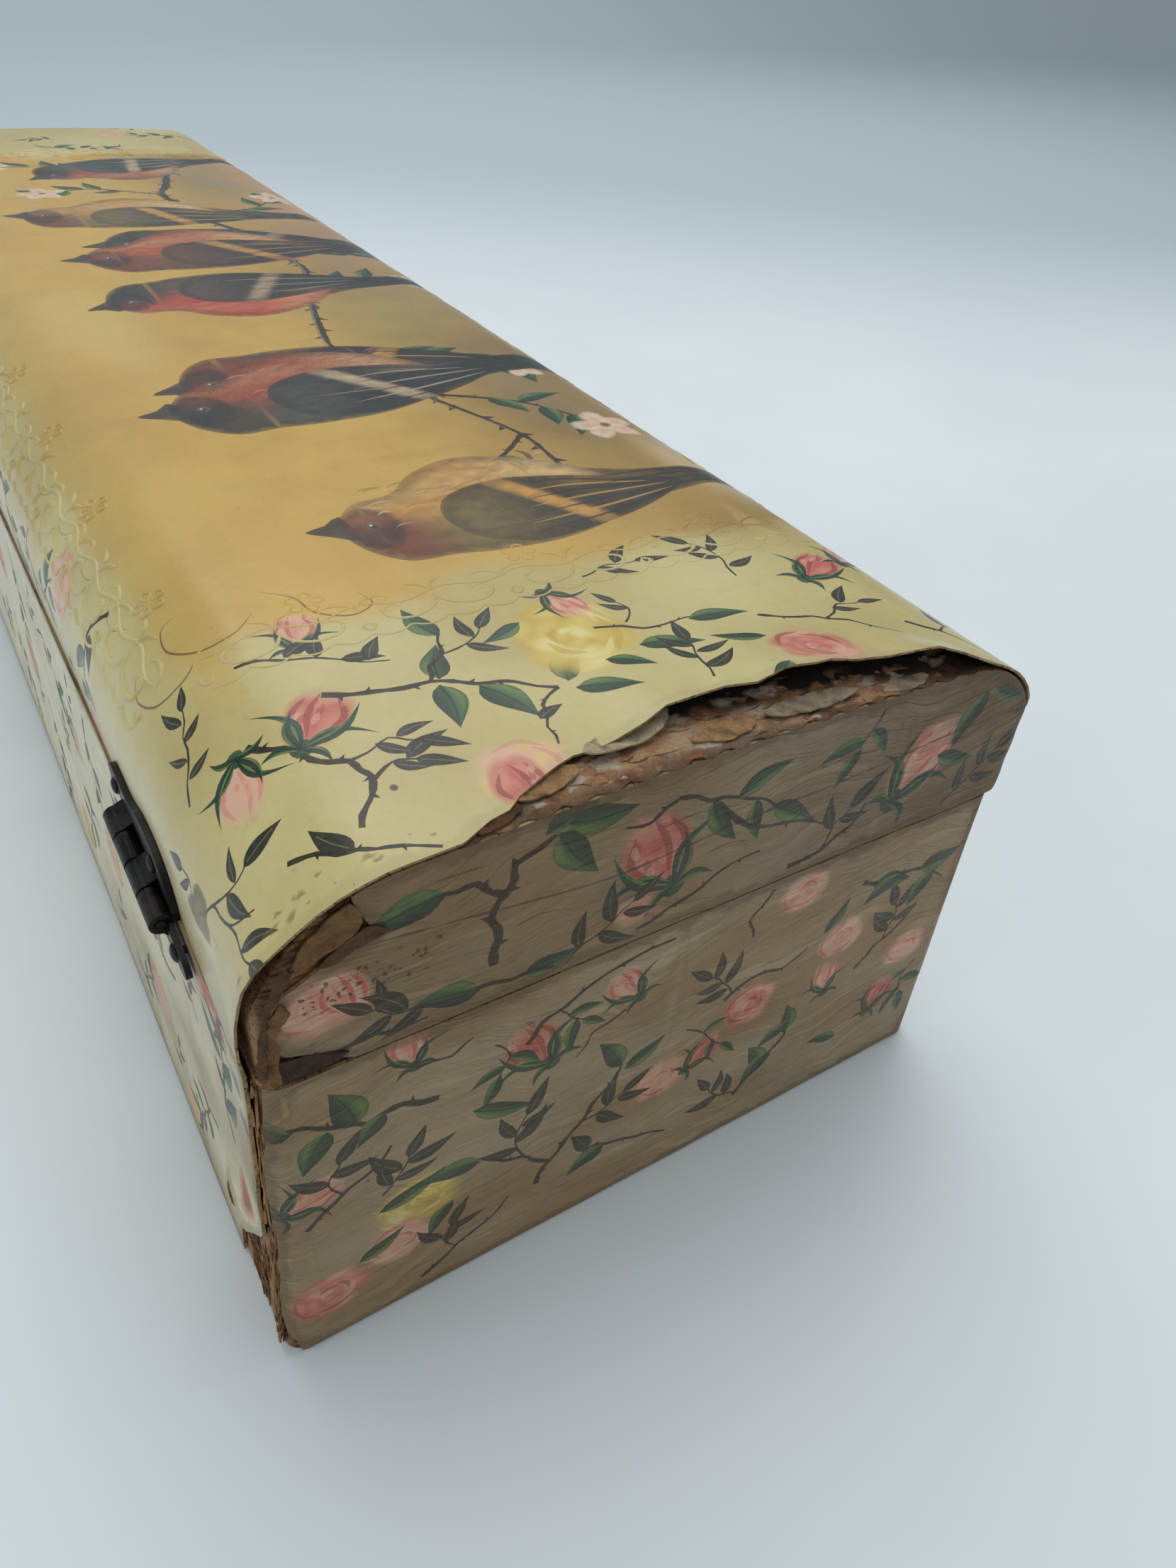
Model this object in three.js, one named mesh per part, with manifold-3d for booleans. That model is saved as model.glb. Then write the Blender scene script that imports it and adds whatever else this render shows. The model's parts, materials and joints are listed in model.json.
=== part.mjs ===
// A long wooden glove box with a hinged, round-shouldered lid, covered in thin printed celluloid sheets.
// Units are millimetres and +Z is up. X runs along the box, with the worn end at -X and the hinges at +Y.
// The origin is on the table, under the middle of the base.
import * as THREE from "three";
import { mergeVertices } from "three/addons/utils/BufferGeometryUtils.js";
import Module from "manifold-3d";

const wasm = await Module();
wasm.setup();

// The base: a floor board with four walls on it. Its long sides lean in towards the top.
const boxLength = 330;
const baseBottomWidth = 103;
const baseTopWidth = 98;
const baseHeight = 51;
const floorThickness = 6;
const baseWallThickness = 7;
const baseEndThickness = 8;
const cornerRadius = 3;

// The lid: a top board with planed shoulders on a frame of two rails and two end boards.
const lidWiderBy = 1.2;
const lidHeight = 23.2;
const lidForwardSet = 1;
const partingGap = 0.3;
const shoulderRadius = 15.6;
const topCrown = 0.8;
const topBoardThickness = 8.6;
const lidRailThickness = 7;
const lidEndThickness = 8;

// The celluloid: every outer face but the underside carries a sheet.
const coverThickness = 0.5;
const glueGap = 0.1;
const coverLift = 0.5;

// The two hinges, screwed flat on the back with their barrels outside it.
const hingeEndInset = 35;
const barrelLength = 20;
const barrelRadius = 1.3;
const barrelStandOff = 0.3;
const knuckleCount = 4;
const knuckleGap = 0.3;
const pinRadius = 0.6;
const pinProud = 0.2;
const pinClearance = 0.08;
const turningClearance = 0.2;
const leafThickness = 0.7;
const leafHeight = 6.6;
const leafTipReach = 6;
const leafSeatGap = 0.1;
const leafRollHeight = 1.9;
const nailHeadRadius = 1.1;
const nailHeadHeight = 0.5;
const nailShankRadius = 0.45;
const nailShankLength = 6;
const nailHoleClearance = 0.1;

// What has broken away at the -X end. The shoulder's break is given inwards from the lid's back and up
// from its bottom.
const tornSheetDepth = 6.5;
const tornSheetBack = 27;
const tornSheetFront = -39;
const bareShoulder = [[6.8, 0], [7.9, 0.7], [2.7, 5.1], [3.5, 12.1], [12.2, 15.1]];
const bareShoulderTop = 10.2;
const bareCornerWidth = 1.2;
const bareBackStrip = 3;
const tearReach = 15.5;
const tearHeight = 20.6;

// Values worked out from the sizes above.
const halfLength = boxLength / 2;
const lidWidth = baseTopWidth + lidWiderBy;
const lidBottom = baseHeight + partingGap;
const lidTop = lidBottom + lidHeight;
const skin = coverThickness + glueGap;
const topBoardUnderside = lidTop - skin - topBoardThickness;
const hingeY = baseTopWidth / 2 + barrelStandOff + barrelRadius;
const hingeZ = baseHeight + partingGap / 2;
const reach = boxLength;

const wood = new THREE.MeshStandardMaterial({ color: 0x9a7247, roughness: 0.8, metalness: 0 });
const topCelluloid = new THREE.MeshStandardMaterial({ color: 0xd9c88a, roughness: 0.3, metalness: 0 });
const sideCelluloid = new THREE.MeshStandardMaterial({ color: 0xb5a287, roughness: 0.45, metalness: 0 });
const hingeSteel = new THREE.MeshStandardMaterial({ color: 0x2b2a28, roughness: 0.5, metalness: 0.8 });

// Turns a closed three.js geometry into a solid that can be joined and cut.
function solid(geometry) {
  const bare = geometry.clone();
  bare.deleteAttribute("normal");
  bare.deleteAttribute("uv");
  const merged = mergeVertices(bare, 1e-4);
  return new wasm.Manifold(
    new wasm.Mesh({
      numProp: 3,
      vertProperties: merged.attributes.position.array,
      triVerts: new Uint32Array(merged.index.array),
    }),
  );
}

// Turns a cut solid back into a three.js geometry.
function geometryOf(cut) {
  const mesh = cut.getMesh();
  const points = new Float32Array(mesh.numVert * 3);
  for (let i = 0; i < mesh.numVert; i++)
    for (let k = 0; k < 3; k++)
      points[3 * i + k] = mesh.vertProperties[mesh.numProp * i + k];
  const geometry = new THREE.BufferGeometry();
  geometry.setAttribute("position", new THREE.BufferAttribute(points, 3));
  geometry.setIndex(Array.from(mesh.triVerts));
  geometry.computeVertexNormals();
  return geometry;
}

function box(x0, x1, y0, y1, z0, z1) {
  const geometry = new THREE.BoxGeometry(x1 - x0, y1 - y0, z1 - z0);
  geometry.translate((x0 + x1) / 2, (y0 + y1) / 2, (z0 + z1) / 2);
  return solid(geometry);
}

// A flat outline of [first, second] points pushed out along one axis. The outline lies in YZ, XZ or XY.
function prism(outline, axis, from, to) {
  const shape = new THREE.Shape(outline.map(([a, b]) => new THREE.Vector2(a, b)));
  const geometry = new THREE.ExtrudeGeometry(shape, { depth: to - from, bevelEnabled: false });
  geometry.translate(0, 0, from);
  const x = new THREE.Vector3(1, 0, 0);
  const y = new THREE.Vector3(0, 1, 0);
  const z = new THREE.Vector3(0, 0, 1);
  const turn = new THREE.Matrix4();
  if (axis === "x") turn.makeBasis(y, z, x);
  if (axis === "y") turn.makeBasis(x, z, y.clone().negate());
  if (axis === "y") turn.premultiply(new THREE.Matrix4().makeTranslation(0, from + to, 0));
  geometry.applyMatrix4(turn);
  return solid(geometry);
}

function cylinderX(radius, x0, x1, y, z, sides = 24) {
  const geometry = new THREE.CylinderGeometry(radius, radius, x1 - x0, sides);
  geometry.rotateZ(Math.PI / 2);
  geometry.translate((x0 + x1) / 2, y, z);
  return solid(geometry);
}

function cylinderY(radius, x, y0, y1, z, sides = 16) {
  const geometry = new THREE.CylinderGeometry(radius, radius, y1 - y0, sides);
  geometry.translate(x, (y0 + y1) / 2, z);
  return solid(geometry);
}

// The plan of the box, a rectangle with round corners.
function plan(halfX, halfY, radius, offsetY = 0, steps = 6) {
  const outline = [];
  const centres = [[1, 1], [-1, 1], [-1, -1], [1, -1]];
  centres.forEach(([sx, sy], quarter) => {
    for (let i = 0; i <= steps; i++) {
      const angle = ((quarter + i / steps) * Math.PI) / 2;
      const x = sx * (halfX - radius) + radius * Math.cos(angle);
      const y = sy * (halfY - radius) + radius * Math.sin(angle);
      outline.push([x, y + offsetY]);
    }
  });
  return outline;
}

// A solid that runs straight from one plan to another of as many points.
function loft(lower, z0, upper, z1) {
  const count = lower.length;
  const points = [...lower.map(([x, y]) => [x, y, z0]), ...upper.map(([x, y]) => [x, y, z1])];
  const index = [];
  for (let i = 0; i < count; i++) {
    const next = (i + 1) % count;
    index.push(i, next, count + next, i, count + next, count + i);
  }
  for (const [a, b, c] of THREE.ShapeUtils.triangulateShape(
    lower.map(([x, y]) => new THREE.Vector2(x, y)), [])) {
    index.push(a, c, b);
    index.push(count + a, count + b, count + c);
  }
  const geometry = new THREE.BufferGeometry();
  geometry.setAttribute("position", new THREE.Float32BufferAttribute(points.flat(), 3));
  geometry.setIndex(index);
  return solid(geometry);
}

// The base's block, moved in by an inset at its ends and at its long sides.
function baseBlock(insetX, insetY, radius = Math.max(cornerRadius - insetY, 0.05)) {
  const halfX = halfLength - insetX;
  return loft(
    plan(halfX, baseBottomWidth / 2 - insetY, radius), 0,
    plan(halfX, baseTopWidth / 2 - insetY, radius), baseHeight,
  );
}

// The lid's cross-section over its long sides, its shoulders and its low crown.
function lidSection(inset, steps = 12) {
  const half = lidWidth / 2 - inset;
  const top = lidTop - inset;
  const radius = shoulderRadius - inset;
  const flat = half - radius;
  const centre = top - radius - topCrown;
  const outline = [[-half, lidBottom], [half, lidBottom]];
  for (let i = 0; i <= steps; i++) {
    const angle = ((i / steps) * Math.PI) / 2;
    outline.push([flat + radius * Math.cos(angle), centre + radius * Math.sin(angle)]);
  }
  for (let i = 1; i < steps; i++) {
    const y = flat * (1 - (2 * i) / steps);
    outline.push([y, top - topCrown * (y / flat) ** 2]);
  }
  for (let i = steps; i >= 0; i--) {
    const angle = ((i / steps) * Math.PI) / 2;
    outline.push([-flat - radius * Math.cos(angle), centre + radius * Math.sin(angle)]);
  }
  return outline.map(([y, z]) => [y - lidForwardSet, z]);
}

// The lid's block, moved in by an inset at its ends and over its section.
function lidBlock(insetX, inset) {
  const radius = Math.max(cornerRadius - inset, 0.05);
  const outline = plan(halfLength - insetX, lidWidth / 2 - inset, radius, -lidForwardSet);
  return prism(lidSection(inset), "x", -reach, reach)
    .intersect(prism(outline, "z", lidBottom, lidTop + topCrown));
}

const group = new THREE.Group();
function add(name, cut, material) {
  const mesh = new THREE.Mesh(geometryOf(cut), material);
  mesh.name = name;
  group.add(mesh);
}

// Where the two hinges sit, and the holes that their nails need.
const hinges = [
  { name: "near", x: -halfLength + hingeEndInset },
  { name: "far", x: halfLength - hingeEndInset },
];
const nailPlaces = [[-0.2, 0.5], [0.62, 0.3]].map(([along, up]) => [along * barrelLength, up * leafHeight]);
const upperLeafInner = lidWidth / 2 - lidForwardSet + leafSeatGap;
const backLean = (baseBottomWidth - baseTopWidth) / 2 / baseHeight;
const lowerLeafInner = baseTopWidth / 2 + leafSeatGap + Math.max(backLean, 0) * (leafHeight + partingGap);

function nailsOf(hinge, side) {
  return nailPlaces.map(([along, up]) => ({
    x: hinge.x + side * along,
    z: hingeZ + side * up,
    y: side > 0 ? upperLeafInner : lowerLeafInner,
  }));
}

function nailHoles(side) {
  return hinges.flatMap((hinge) => nailsOf(hinge, side)).map(({ x, y, z }) =>
    cylinderY(nailShankRadius + nailHoleClearance, x, y - nailShankLength, y + leafThickness, z));
}

function cutHoles(cut, holes) {
  return holes.reduce((left, hole) => left.subtract(hole), cut);
}

function makeBase() {
  const block = baseBlock(skin, skin);
  const innerX = baseEndThickness;
  const hollow = baseBlock(skin + innerX, skin + baseWallThickness, 0.05);
  const floor = block.intersect(box(-reach, reach, -reach, reach, 0, floorThickness));
  const walls = block.subtract(hollow)
    .intersect(box(-reach, reach, -reach, reach, floorThickness + glueGap, baseHeight));
  const endFace = halfLength - skin - baseEndThickness;
  const longWalls = walls.intersect(box(-endFace + glueGap, endFace - glueGap, -reach, reach, 0, reach));
  add("base_floor_board", floor, wood);
  add("base_back_wall",
    cutHoles(longWalls.intersect(box(-reach, reach, 0, reach, 0, reach)), nailHoles(-1)), wood);
  add("base_front_wall", longWalls.intersect(box(-reach, reach, -reach, 0, 0, reach)), wood);
  add("base_near_end_wall", walls.intersect(box(-reach, -endFace, -reach, reach, 0, reach)), wood);
  add("base_far_end_wall", walls.intersect(box(endFace, reach, -reach, reach, 0, reach)), wood);
}

// The sheets on the base. The end sheets turn round the corners, up to the edges of the long sheets.
function makeBaseCovers() {
  const band = box(-reach, reach, -reach, reach, coverLift, baseHeight);
  const shell = baseBlock(0, 0).subtract(baseBlock(coverThickness, coverThickness)).intersect(band);
  const longSheets = shell.subtract(baseBlock(-reach, coverThickness, 0.05));
  const endSheets = shell.intersect(baseBlock(-reach, skin, 0.05));
  const bottomHalf = baseBottomWidth / 2;
  const topHalf = baseTopWidth / 2;
  const bareCorner = prism([
    [bottomHalf - bareCornerWidth, 0], [bottomHalf + skin, 0],
    [topHalf + skin, baseHeight], [topHalf - bareCornerWidth, baseHeight],
  ], "x", -reach, 0);
  const tear = prism([
    [-reach, 0], [-halfLength + tearReach, 0], [-halfLength + tearReach * 0.87, tearHeight],
    [-halfLength + tearReach * 0.6, tearHeight * 0.8], [-halfLength + bareBackStrip, tearHeight * 1.2],
    [-halfLength + bareBackStrip, baseHeight], [-reach, baseHeight],
  ], "y", 0, reach);
  const backHalf = box(-reach, reach, 0, reach, 0, reach);
  const frontHalf = box(-reach, reach, -reach, 0, 0, reach);
  add("base_back_cover",
    cutHoles(longSheets.intersect(backHalf).subtract(tear), nailHoles(-1)), sideCelluloid);
  add("base_front_cover", longSheets.intersect(frontHalf), sideCelluloid);
  add("base_near_end_cover",
    endSheets.intersect(box(-reach, 0, -reach, reach, 0, reach)).subtract(bareCorner), sideCelluloid);
  add("base_far_end_cover", endSheets.intersect(box(0, reach, -reach, reach, 0, reach)), sideCelluloid);
}

function makeLid() {
  const block = lidBlock(skin, skin);
  const frame = block.intersect(box(-reach, reach, -reach, reach, 0, topBoardUnderside - glueGap));
  const endFace = halfLength - skin - lidEndThickness;
  const railInner = lidWidth / 2 - skin - lidRailThickness;
  const middle = box(-endFace + glueGap, endFace - glueGap, -reach, reach, 0, reach);
  add("lid_top_board", block.intersect(box(-reach, reach, -reach, reach, topBoardUnderside, reach)), wood);
  add("lid_back_rail", cutHoles(
    frame.intersect(middle).intersect(box(-reach, reach, railInner - lidForwardSet, reach, 0, reach)),
    nailHoles(1)), wood);
  add("lid_front_rail",
    frame.intersect(middle).intersect(box(-reach, reach, -reach, -railInner - lidForwardSet, 0, reach)), wood);
  add("lid_near_end_board", frame.intersect(box(-reach, -endFace, -reach, reach, 0, reach)), wood);
  add("lid_far_end_board", frame.intersect(box(endFace, reach, -reach, reach, 0, reach)), wood);
}

// One bent sheet over the lid's top and long sides, torn back at one end, and a flat sheet on each end.
function makeLidCovers() {
  const shell = lidBlock(0, 0).subtract(lidBlock(coverThickness, coverThickness));
  const within = prism(lidSection(coverThickness), "x", -reach, reach);
  const endArea = prism(lidSection(skin), "x", -reach, reach);
  const span = tornSheetBack - tornSheetFront;
  const tornEdge = [[-reach, tornSheetBack], [-reach, tornSheetFront]];
  const steps = 10;
  for (let i = 0; i <= steps; i++) {
    const share = i / steps;
    const depth = tornSheetDepth * Math.sin(Math.PI * share) ** 0.7;
    tornEdge.push([-halfLength - glueGap + depth, tornSheetFront + span * share]);
  }
  const lidBack = lidWidth / 2 - lidForwardSet;
  const missing = bareShoulder.map(([inwards, up]) => [lidBack - inwards, lidBottom + up]);
  missing.push([lidBack - bareShoulderTop, lidTop], [reach, lidTop], [reach, lidBottom]);
  const nearEnd = box(-reach, 0, -reach, reach, 0, reach);
  const farEnd = box(0, reach, -reach, reach, 0, reach);
  const topSheet = shell.subtract(within)
    .subtract(prism(tornEdge, "z", topBoardUnderside, reach));
  add("lid_top_sheet", cutHoles(topSheet, nailHoles(1)), topCelluloid);
  const ends = shell.intersect(endArea);
  add("lid_near_end_cover", ends.intersect(nearEnd).subtract(prism(missing, "x", -reach, 0)), sideCelluloid);
  add("lid_far_end_cover", ends.intersect(farEnd), sideCelluloid);
}

// A leaf's outline from the barrel outwards: a broad lobe, a waist and a small lobe past the barrel's end.
function leafOutline(steps = 10) {
  const half = barrelLength / 2;
  const tip = half + leafTipReach;
  const path = new THREE.Path();
  path.moveTo(-half, 0);
  path.bezierCurveTo(-half, leafHeight * 0.5, -half * 0.8, leafHeight, -half * 0.3, leafHeight);
  path.bezierCurveTo(half * 0.3, leafHeight, half * 0.4, leafHeight * 0.62, half * 0.85, leafHeight * 0.6);
  path.bezierCurveTo(tip * 0.85, leafHeight * 0.7, tip, leafHeight * 0.55, tip, leafHeight * 0.32);
  path.bezierCurveTo(tip, leafHeight * 0.15, half * 1.2, leafHeight * 0.1, half, 0);
  return path.getPoints(steps).map((point) => [point.x, point.y]);
}

// side is 1 for the lid's leaf and -1 for the base's, which is the same pressing turned half round.
// The sheet rolls from the plate over onto the barrel at each of the leaf's own knuckles.
function leaf(hinge, side) {
  const inner = side > 0 ? upperLeafInner : lowerLeafInner;
  const outline = leafOutline().map(([along, up]) => [hinge.x + side * along, hingeZ + side * up]);
  let plate = prism(outline, "y", inner, inner + leafThickness);
  const pitch = barrelLength / knuckleCount;
  for (let i = 0; i < knuckleCount; i++) {
    const start = hinge.x + side * (barrelLength / 2 - i * pitch);
    const ends = [start, start - side * pitch].sort((a, b) => a - b);
    const own = i % 2 === 0;
    const trim = own ? knuckleGap / 2 : -knuckleGap / 2;
    const radius = own ? barrelRadius : barrelRadius + turningClearance;
    const knuckle = cylinderX(radius, ends[0] + trim, ends[1] - trim, hingeY, hingeZ);
    const roll = prism([
      [inner, hingeZ], [inner, hingeZ + side * leafRollHeight],
      [inner + leafThickness, hingeZ + side * leafRollHeight],
      [hingeY, hingeZ + side * barrelRadius], [hingeY, hingeZ],
    ], "x", ends[0] + trim, ends[1] - trim);
    plate = own ? plate.add(roll).add(knuckle) : plate.subtract(knuckle);
  }
  const bore = cylinderX(pinRadius + pinClearance, -reach, reach, hingeY, hingeZ);
  const holes = nailsOf(hinge, side).map(({ x, z }) =>
    cylinderY(nailShankRadius + nailHoleClearance, x, 0, reach, z));
  return cutHoles(plate.subtract(bore), holes);
}

// A nail with a low round head on the leaf and a plain shank into the wood.
function nail({ x, y, z }) {
  const headBase = leafThickness + leafSeatGap;
  const profile = [new THREE.Vector2(0, -nailShankLength + leafThickness)];
  profile.push(new THREE.Vector2(nailShankRadius, -nailShankLength + leafThickness + nailShankRadius));
  profile.push(new THREE.Vector2(nailShankRadius, headBase));
  for (let i = 0; i <= 4; i++) {
    const angle = ((i / 4) * Math.PI) / 2;
    const radius = i === 4 ? 0 : nailHeadRadius * Math.cos(angle);
    profile.push(new THREE.Vector2(radius, headBase + nailHeadHeight * Math.sin(angle)));
  }
  const geometry = new THREE.LatheGeometry(profile, 16);
  geometry.translate(x, y, z);
  return solid(geometry);
}

function makeHinge(hinge) {
  add(`${hinge.name}_hinge_lid_leaf`, leaf(hinge, 1), hingeSteel);
  add(`${hinge.name}_hinge_base_leaf`, leaf(hinge, -1), hingeSteel);
  const half = barrelLength / 2 + pinProud;
  const pin = cylinderX(pinRadius, hinge.x - half, hinge.x + half, hingeY, hingeZ);
  add(`${hinge.name}_hinge_pin`, pin, hingeSteel);
  for (const [piece, side] of [["lid", 1], ["base", -1]])
    nailsOf(hinge, side).forEach((place, i) =>
      add(`${hinge.name}_hinge_${piece}_nail_${i + 1}`, nail(place), hingeSteel));
}

makeBase();
makeBaseCovers();
makeLid();
makeLidCovers();
hinges.forEach(makeHinge);

export default group;
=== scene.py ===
# A worn glove box: bare wood boards under printed celluloid sheets, with blackened hinges at the back.
# Flat sheets are laid out in millimetres, printed with outlines in their own plane, then bent round the box.
import json
import math
import random

import bpy
import numpy as np
from mathutils import Matrix, Vector, geometry

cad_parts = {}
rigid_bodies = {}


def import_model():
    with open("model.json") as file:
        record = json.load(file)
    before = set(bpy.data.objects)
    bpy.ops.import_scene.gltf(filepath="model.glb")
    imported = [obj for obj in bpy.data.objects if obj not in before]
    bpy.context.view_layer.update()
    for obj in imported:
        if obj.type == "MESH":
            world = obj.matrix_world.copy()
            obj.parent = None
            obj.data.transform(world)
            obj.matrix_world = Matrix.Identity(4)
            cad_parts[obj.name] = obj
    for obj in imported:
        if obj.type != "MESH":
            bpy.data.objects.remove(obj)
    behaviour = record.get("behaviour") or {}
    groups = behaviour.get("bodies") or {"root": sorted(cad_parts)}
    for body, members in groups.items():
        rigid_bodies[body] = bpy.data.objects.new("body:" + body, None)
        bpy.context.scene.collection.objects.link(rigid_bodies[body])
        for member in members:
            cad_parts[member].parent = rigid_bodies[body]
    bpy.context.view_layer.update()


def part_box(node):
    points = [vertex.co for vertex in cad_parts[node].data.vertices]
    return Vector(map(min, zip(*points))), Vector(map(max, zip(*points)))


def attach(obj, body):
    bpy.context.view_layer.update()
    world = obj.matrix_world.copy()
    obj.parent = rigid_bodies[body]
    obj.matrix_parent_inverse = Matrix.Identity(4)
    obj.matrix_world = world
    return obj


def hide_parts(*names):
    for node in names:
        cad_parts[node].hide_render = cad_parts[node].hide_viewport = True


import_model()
mm = 0.001


def boxInMm(node):
    low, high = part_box(node)
    return np.array(low) / mm, np.array(high) / mm


lidLow, lidHigh = boxInMm("lid_top_sheet")
floorLow, floorHigh = boxInMm("base_floor_board")
coverLow, coverHigh = boxInMm("base_back_cover")
boxShape = {
    "halfLength": lidHigh[0],
    "cornerRadius": 3.0,
    "baseBottomHalf": 51.5,
    "baseTopHalf": 49.0,
    "baseTop": coverHigh[2],
    "coverFoot": coverLow[2],
    "lidHalf": (lidHigh[1] - lidLow[1]) / 2,
    "lidMiddle": (lidHigh[1] + lidLow[1]) / 2,
    "lidBottom": lidLow[2],
    "lidTop": lidHigh[2],
    "shoulder": 15.6,
    "crown": 0.8,
    "sheet": 0.42,
    "floorThickness": floorHigh[2],
}


# Colours

def linear(red, green, blue):
    # from the 0 to 255 numbers of a colour picker to light values
    out = []
    for value in (red, green, blue):
        value /= 255
        out.append(value / 12.92 if value <= 0.04045 else ((value + 0.055) / 1.055) ** 2.4)
    return np.array(out)


def mix(first, second, share):
    share = np.clip(np.asarray(share, float), 0, 1)[..., None]
    return np.asarray(first) * (1 - share) + np.asarray(second) * share


def smooth(low, high, value):
    t = np.clip((np.asarray(value, float) - low) / (high - low), 0, 1)
    return t * t * (3 - 2 * t)


def ripple(u, v, scale, seed=0.0):
    # a cheap smooth wander between about -1 and 1, the same every run
    a = np.sin(u / scale + 1.7 * seed) * np.cos(v / scale * 0.83 + 2.3 * seed)
    b = np.sin((u + 1.6 * v) / scale * 1.9 + seed) * 0.6
    c = np.cos((1.3 * u - v) / scale * 3.1 - 0.7 * seed) * 0.35
    return (a + b + c) / 1.6


# The bends: each takes flat coordinates and a height above the sheet's face, and gives places in the box's frame

def lidTopPlace(u, v, w):
    half, radius = boxShape["lidHalf"], boxShape["shoulder"]
    flat = half - radius
    s, side = np.abs(v), np.where(v < 0, -1.0, 1.0)
    phi = np.clip((s - flat) / radius, 0, math.pi / 2)
    down = np.maximum(s - flat - radius * math.pi / 2, 0)
    drop = boxShape["crown"] * np.minimum(s / flat, 1) ** 2
    lean = np.maximum(2 * boxShape["crown"] * np.minimum(s, flat) / flat ** 2, phi)
    y = np.minimum(s, flat) + radius * np.sin(phi) + np.sin(lean) * w
    z = boxShape["lidTop"] - drop - radius * (1 - np.cos(phi)) - down + np.cos(lean) * w
    return np.stack([u + 0 * y, boxShape["lidMiddle"] + side * y, z], -1)


def lidFlatHalf():
    # from the middle of the lid's top, over the shoulder, to the sheet's lower edge
    half, radius = boxShape["lidHalf"], boxShape["shoulder"]
    side = boxShape["lidTop"] - boxShape["crown"] - radius - boxShape["lidBottom"]
    return half - radius + radius * math.pi / 2 + side


def lidEndPlace(end):
    def place(s, z, w):
        half, radius = boxShape["lidHalf"], boxShape["cornerRadius"]
        side = np.where(s < 0, -1.0, 1.0)
        flat = half - radius
        phi = np.clip((np.abs(s) - flat) / radius, 0, math.pi / 2)
        y = np.minimum(np.abs(s), flat) + (radius + w) * np.sin(phi)
        x = boxShape["halfLength"] - radius + (radius + w) * np.cos(phi)
        return np.stack([end * x, boxShape["lidMiddle"] + side * y, z + 0 * y], -1)
    return place


def baseHalfAt(z):
    share = z / boxShape["baseTop"]
    return boxShape["baseBottomHalf"] * (1 - share) + boxShape["baseTopHalf"] * share


def baseEndPlace(end):
    def place(s, z, w):
        radius = boxShape["cornerRadius"]
        side = np.where(s < 0, -1.0, 1.0)
        flat = baseHalfAt(z) - radius
        phi = np.clip((np.abs(s) - flat) / radius, 0, math.pi / 2)
        y = np.minimum(np.abs(s), flat) + (radius + w) * np.sin(phi)
        x = boxShape["halfLength"] - radius + (radius + w) * np.cos(phi)
        return np.stack([end * x, side * y, z + 0 * y], -1)
    return place


def baseSidePlace(side):
    def place(u, z, w):
        radius = boxShape["cornerRadius"]
        end = np.where(u < 0, -1.0, 1.0)
        flat = boxShape["halfLength"] - radius
        phi = np.clip((np.abs(u) - flat) / radius, 0, math.pi / 2)
        x = np.minimum(np.abs(u), flat) + (radius + w) * np.sin(phi)
        y = baseHalfAt(z) - radius + (radius + w) * np.cos(phi)
        return np.stack([end * x, side * y, z + 0 * u], -1)
    return place


# Drawing on a flat sheet. A mark has an outline, extra lines that carry its shading, and a paint function.

def smoothPath(points, step=1.0):
    pts = [np.array(p, float) for p in points]
    pts = [2 * pts[0] - pts[1]] + pts + [2 * pts[-1] - pts[-2]]
    out = []
    for a, b, c, d in zip(pts, pts[1:], pts[2:], pts[3:]):
        count = max(2, int(np.linalg.norm(c - b) / step + 0.5))
        for i in range(count):
            t = i / count
            out.append(0.5 * (2 * b + (c - a) * t + (2 * a - 5 * b + 4 * c - d) * t * t
                              + (3 * b - a - 3 * c + d) * t ** 3))
    out.append(pts[-2])
    return np.array(out)


def normalsOf(path):
    along = np.gradient(path, axis=0)
    along /= np.maximum(np.linalg.norm(along, axis=1), 1e-9)[:, None]
    return np.stack([-along[:, 1], along[:, 0]], 1)


def ribbonOutline(path, halfWidths):
    side = normalsOf(path) * np.asarray(halfWidths)[:, None]
    return np.concatenate([path + side, (path - side)[::-1]])


def turned(points, angle, at):
    c, s = math.cos(angle), math.sin(angle)
    return np.asarray(points) @ np.array([[c, s], [-s, c]]) + np.array(at)


def localOf(u, v, angle, at):
    # back to a mark's own length and width
    c, s = math.cos(angle), math.sin(angle)
    du, dv = u - at[0], v - at[1]
    return du * c + dv * s, -du * s + dv * c


def plainPaint(colour, strength=1.0, wander=0.12):
    def paint(u, v):
        shade = 1 + wander * ripple(u, v, 1.3, 3.0)
        rgb = np.asarray(colour)[None, :] * shade[:, None]
        return rgb, np.full(len(u), strength) * (1 - 0.2 * wander * (1 + ripple(u, v, 0.9, 5.0)))
    return paint


inks = {
    "twig": linear(48, 31, 20),
    "darkLeaf": linear(42, 38, 26),
    "leafShade": linear(16, 44, 34),
    "leafMid": linear(42, 88, 52),
    "leafLight": linear(128, 146, 74),
    "sepal": linear(48, 104, 70),
    "pink": linear(216, 140, 118),
    "red": linear(194, 82, 66),
    "deepRed": linear(150, 46, 44),
    "blush": linear(226, 178, 148),
    "yellow": linear(222, 196, 96),
    "deepYellow": linear(196, 158, 52),
    "smudge": linear(84, 110, 104),
}


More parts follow.
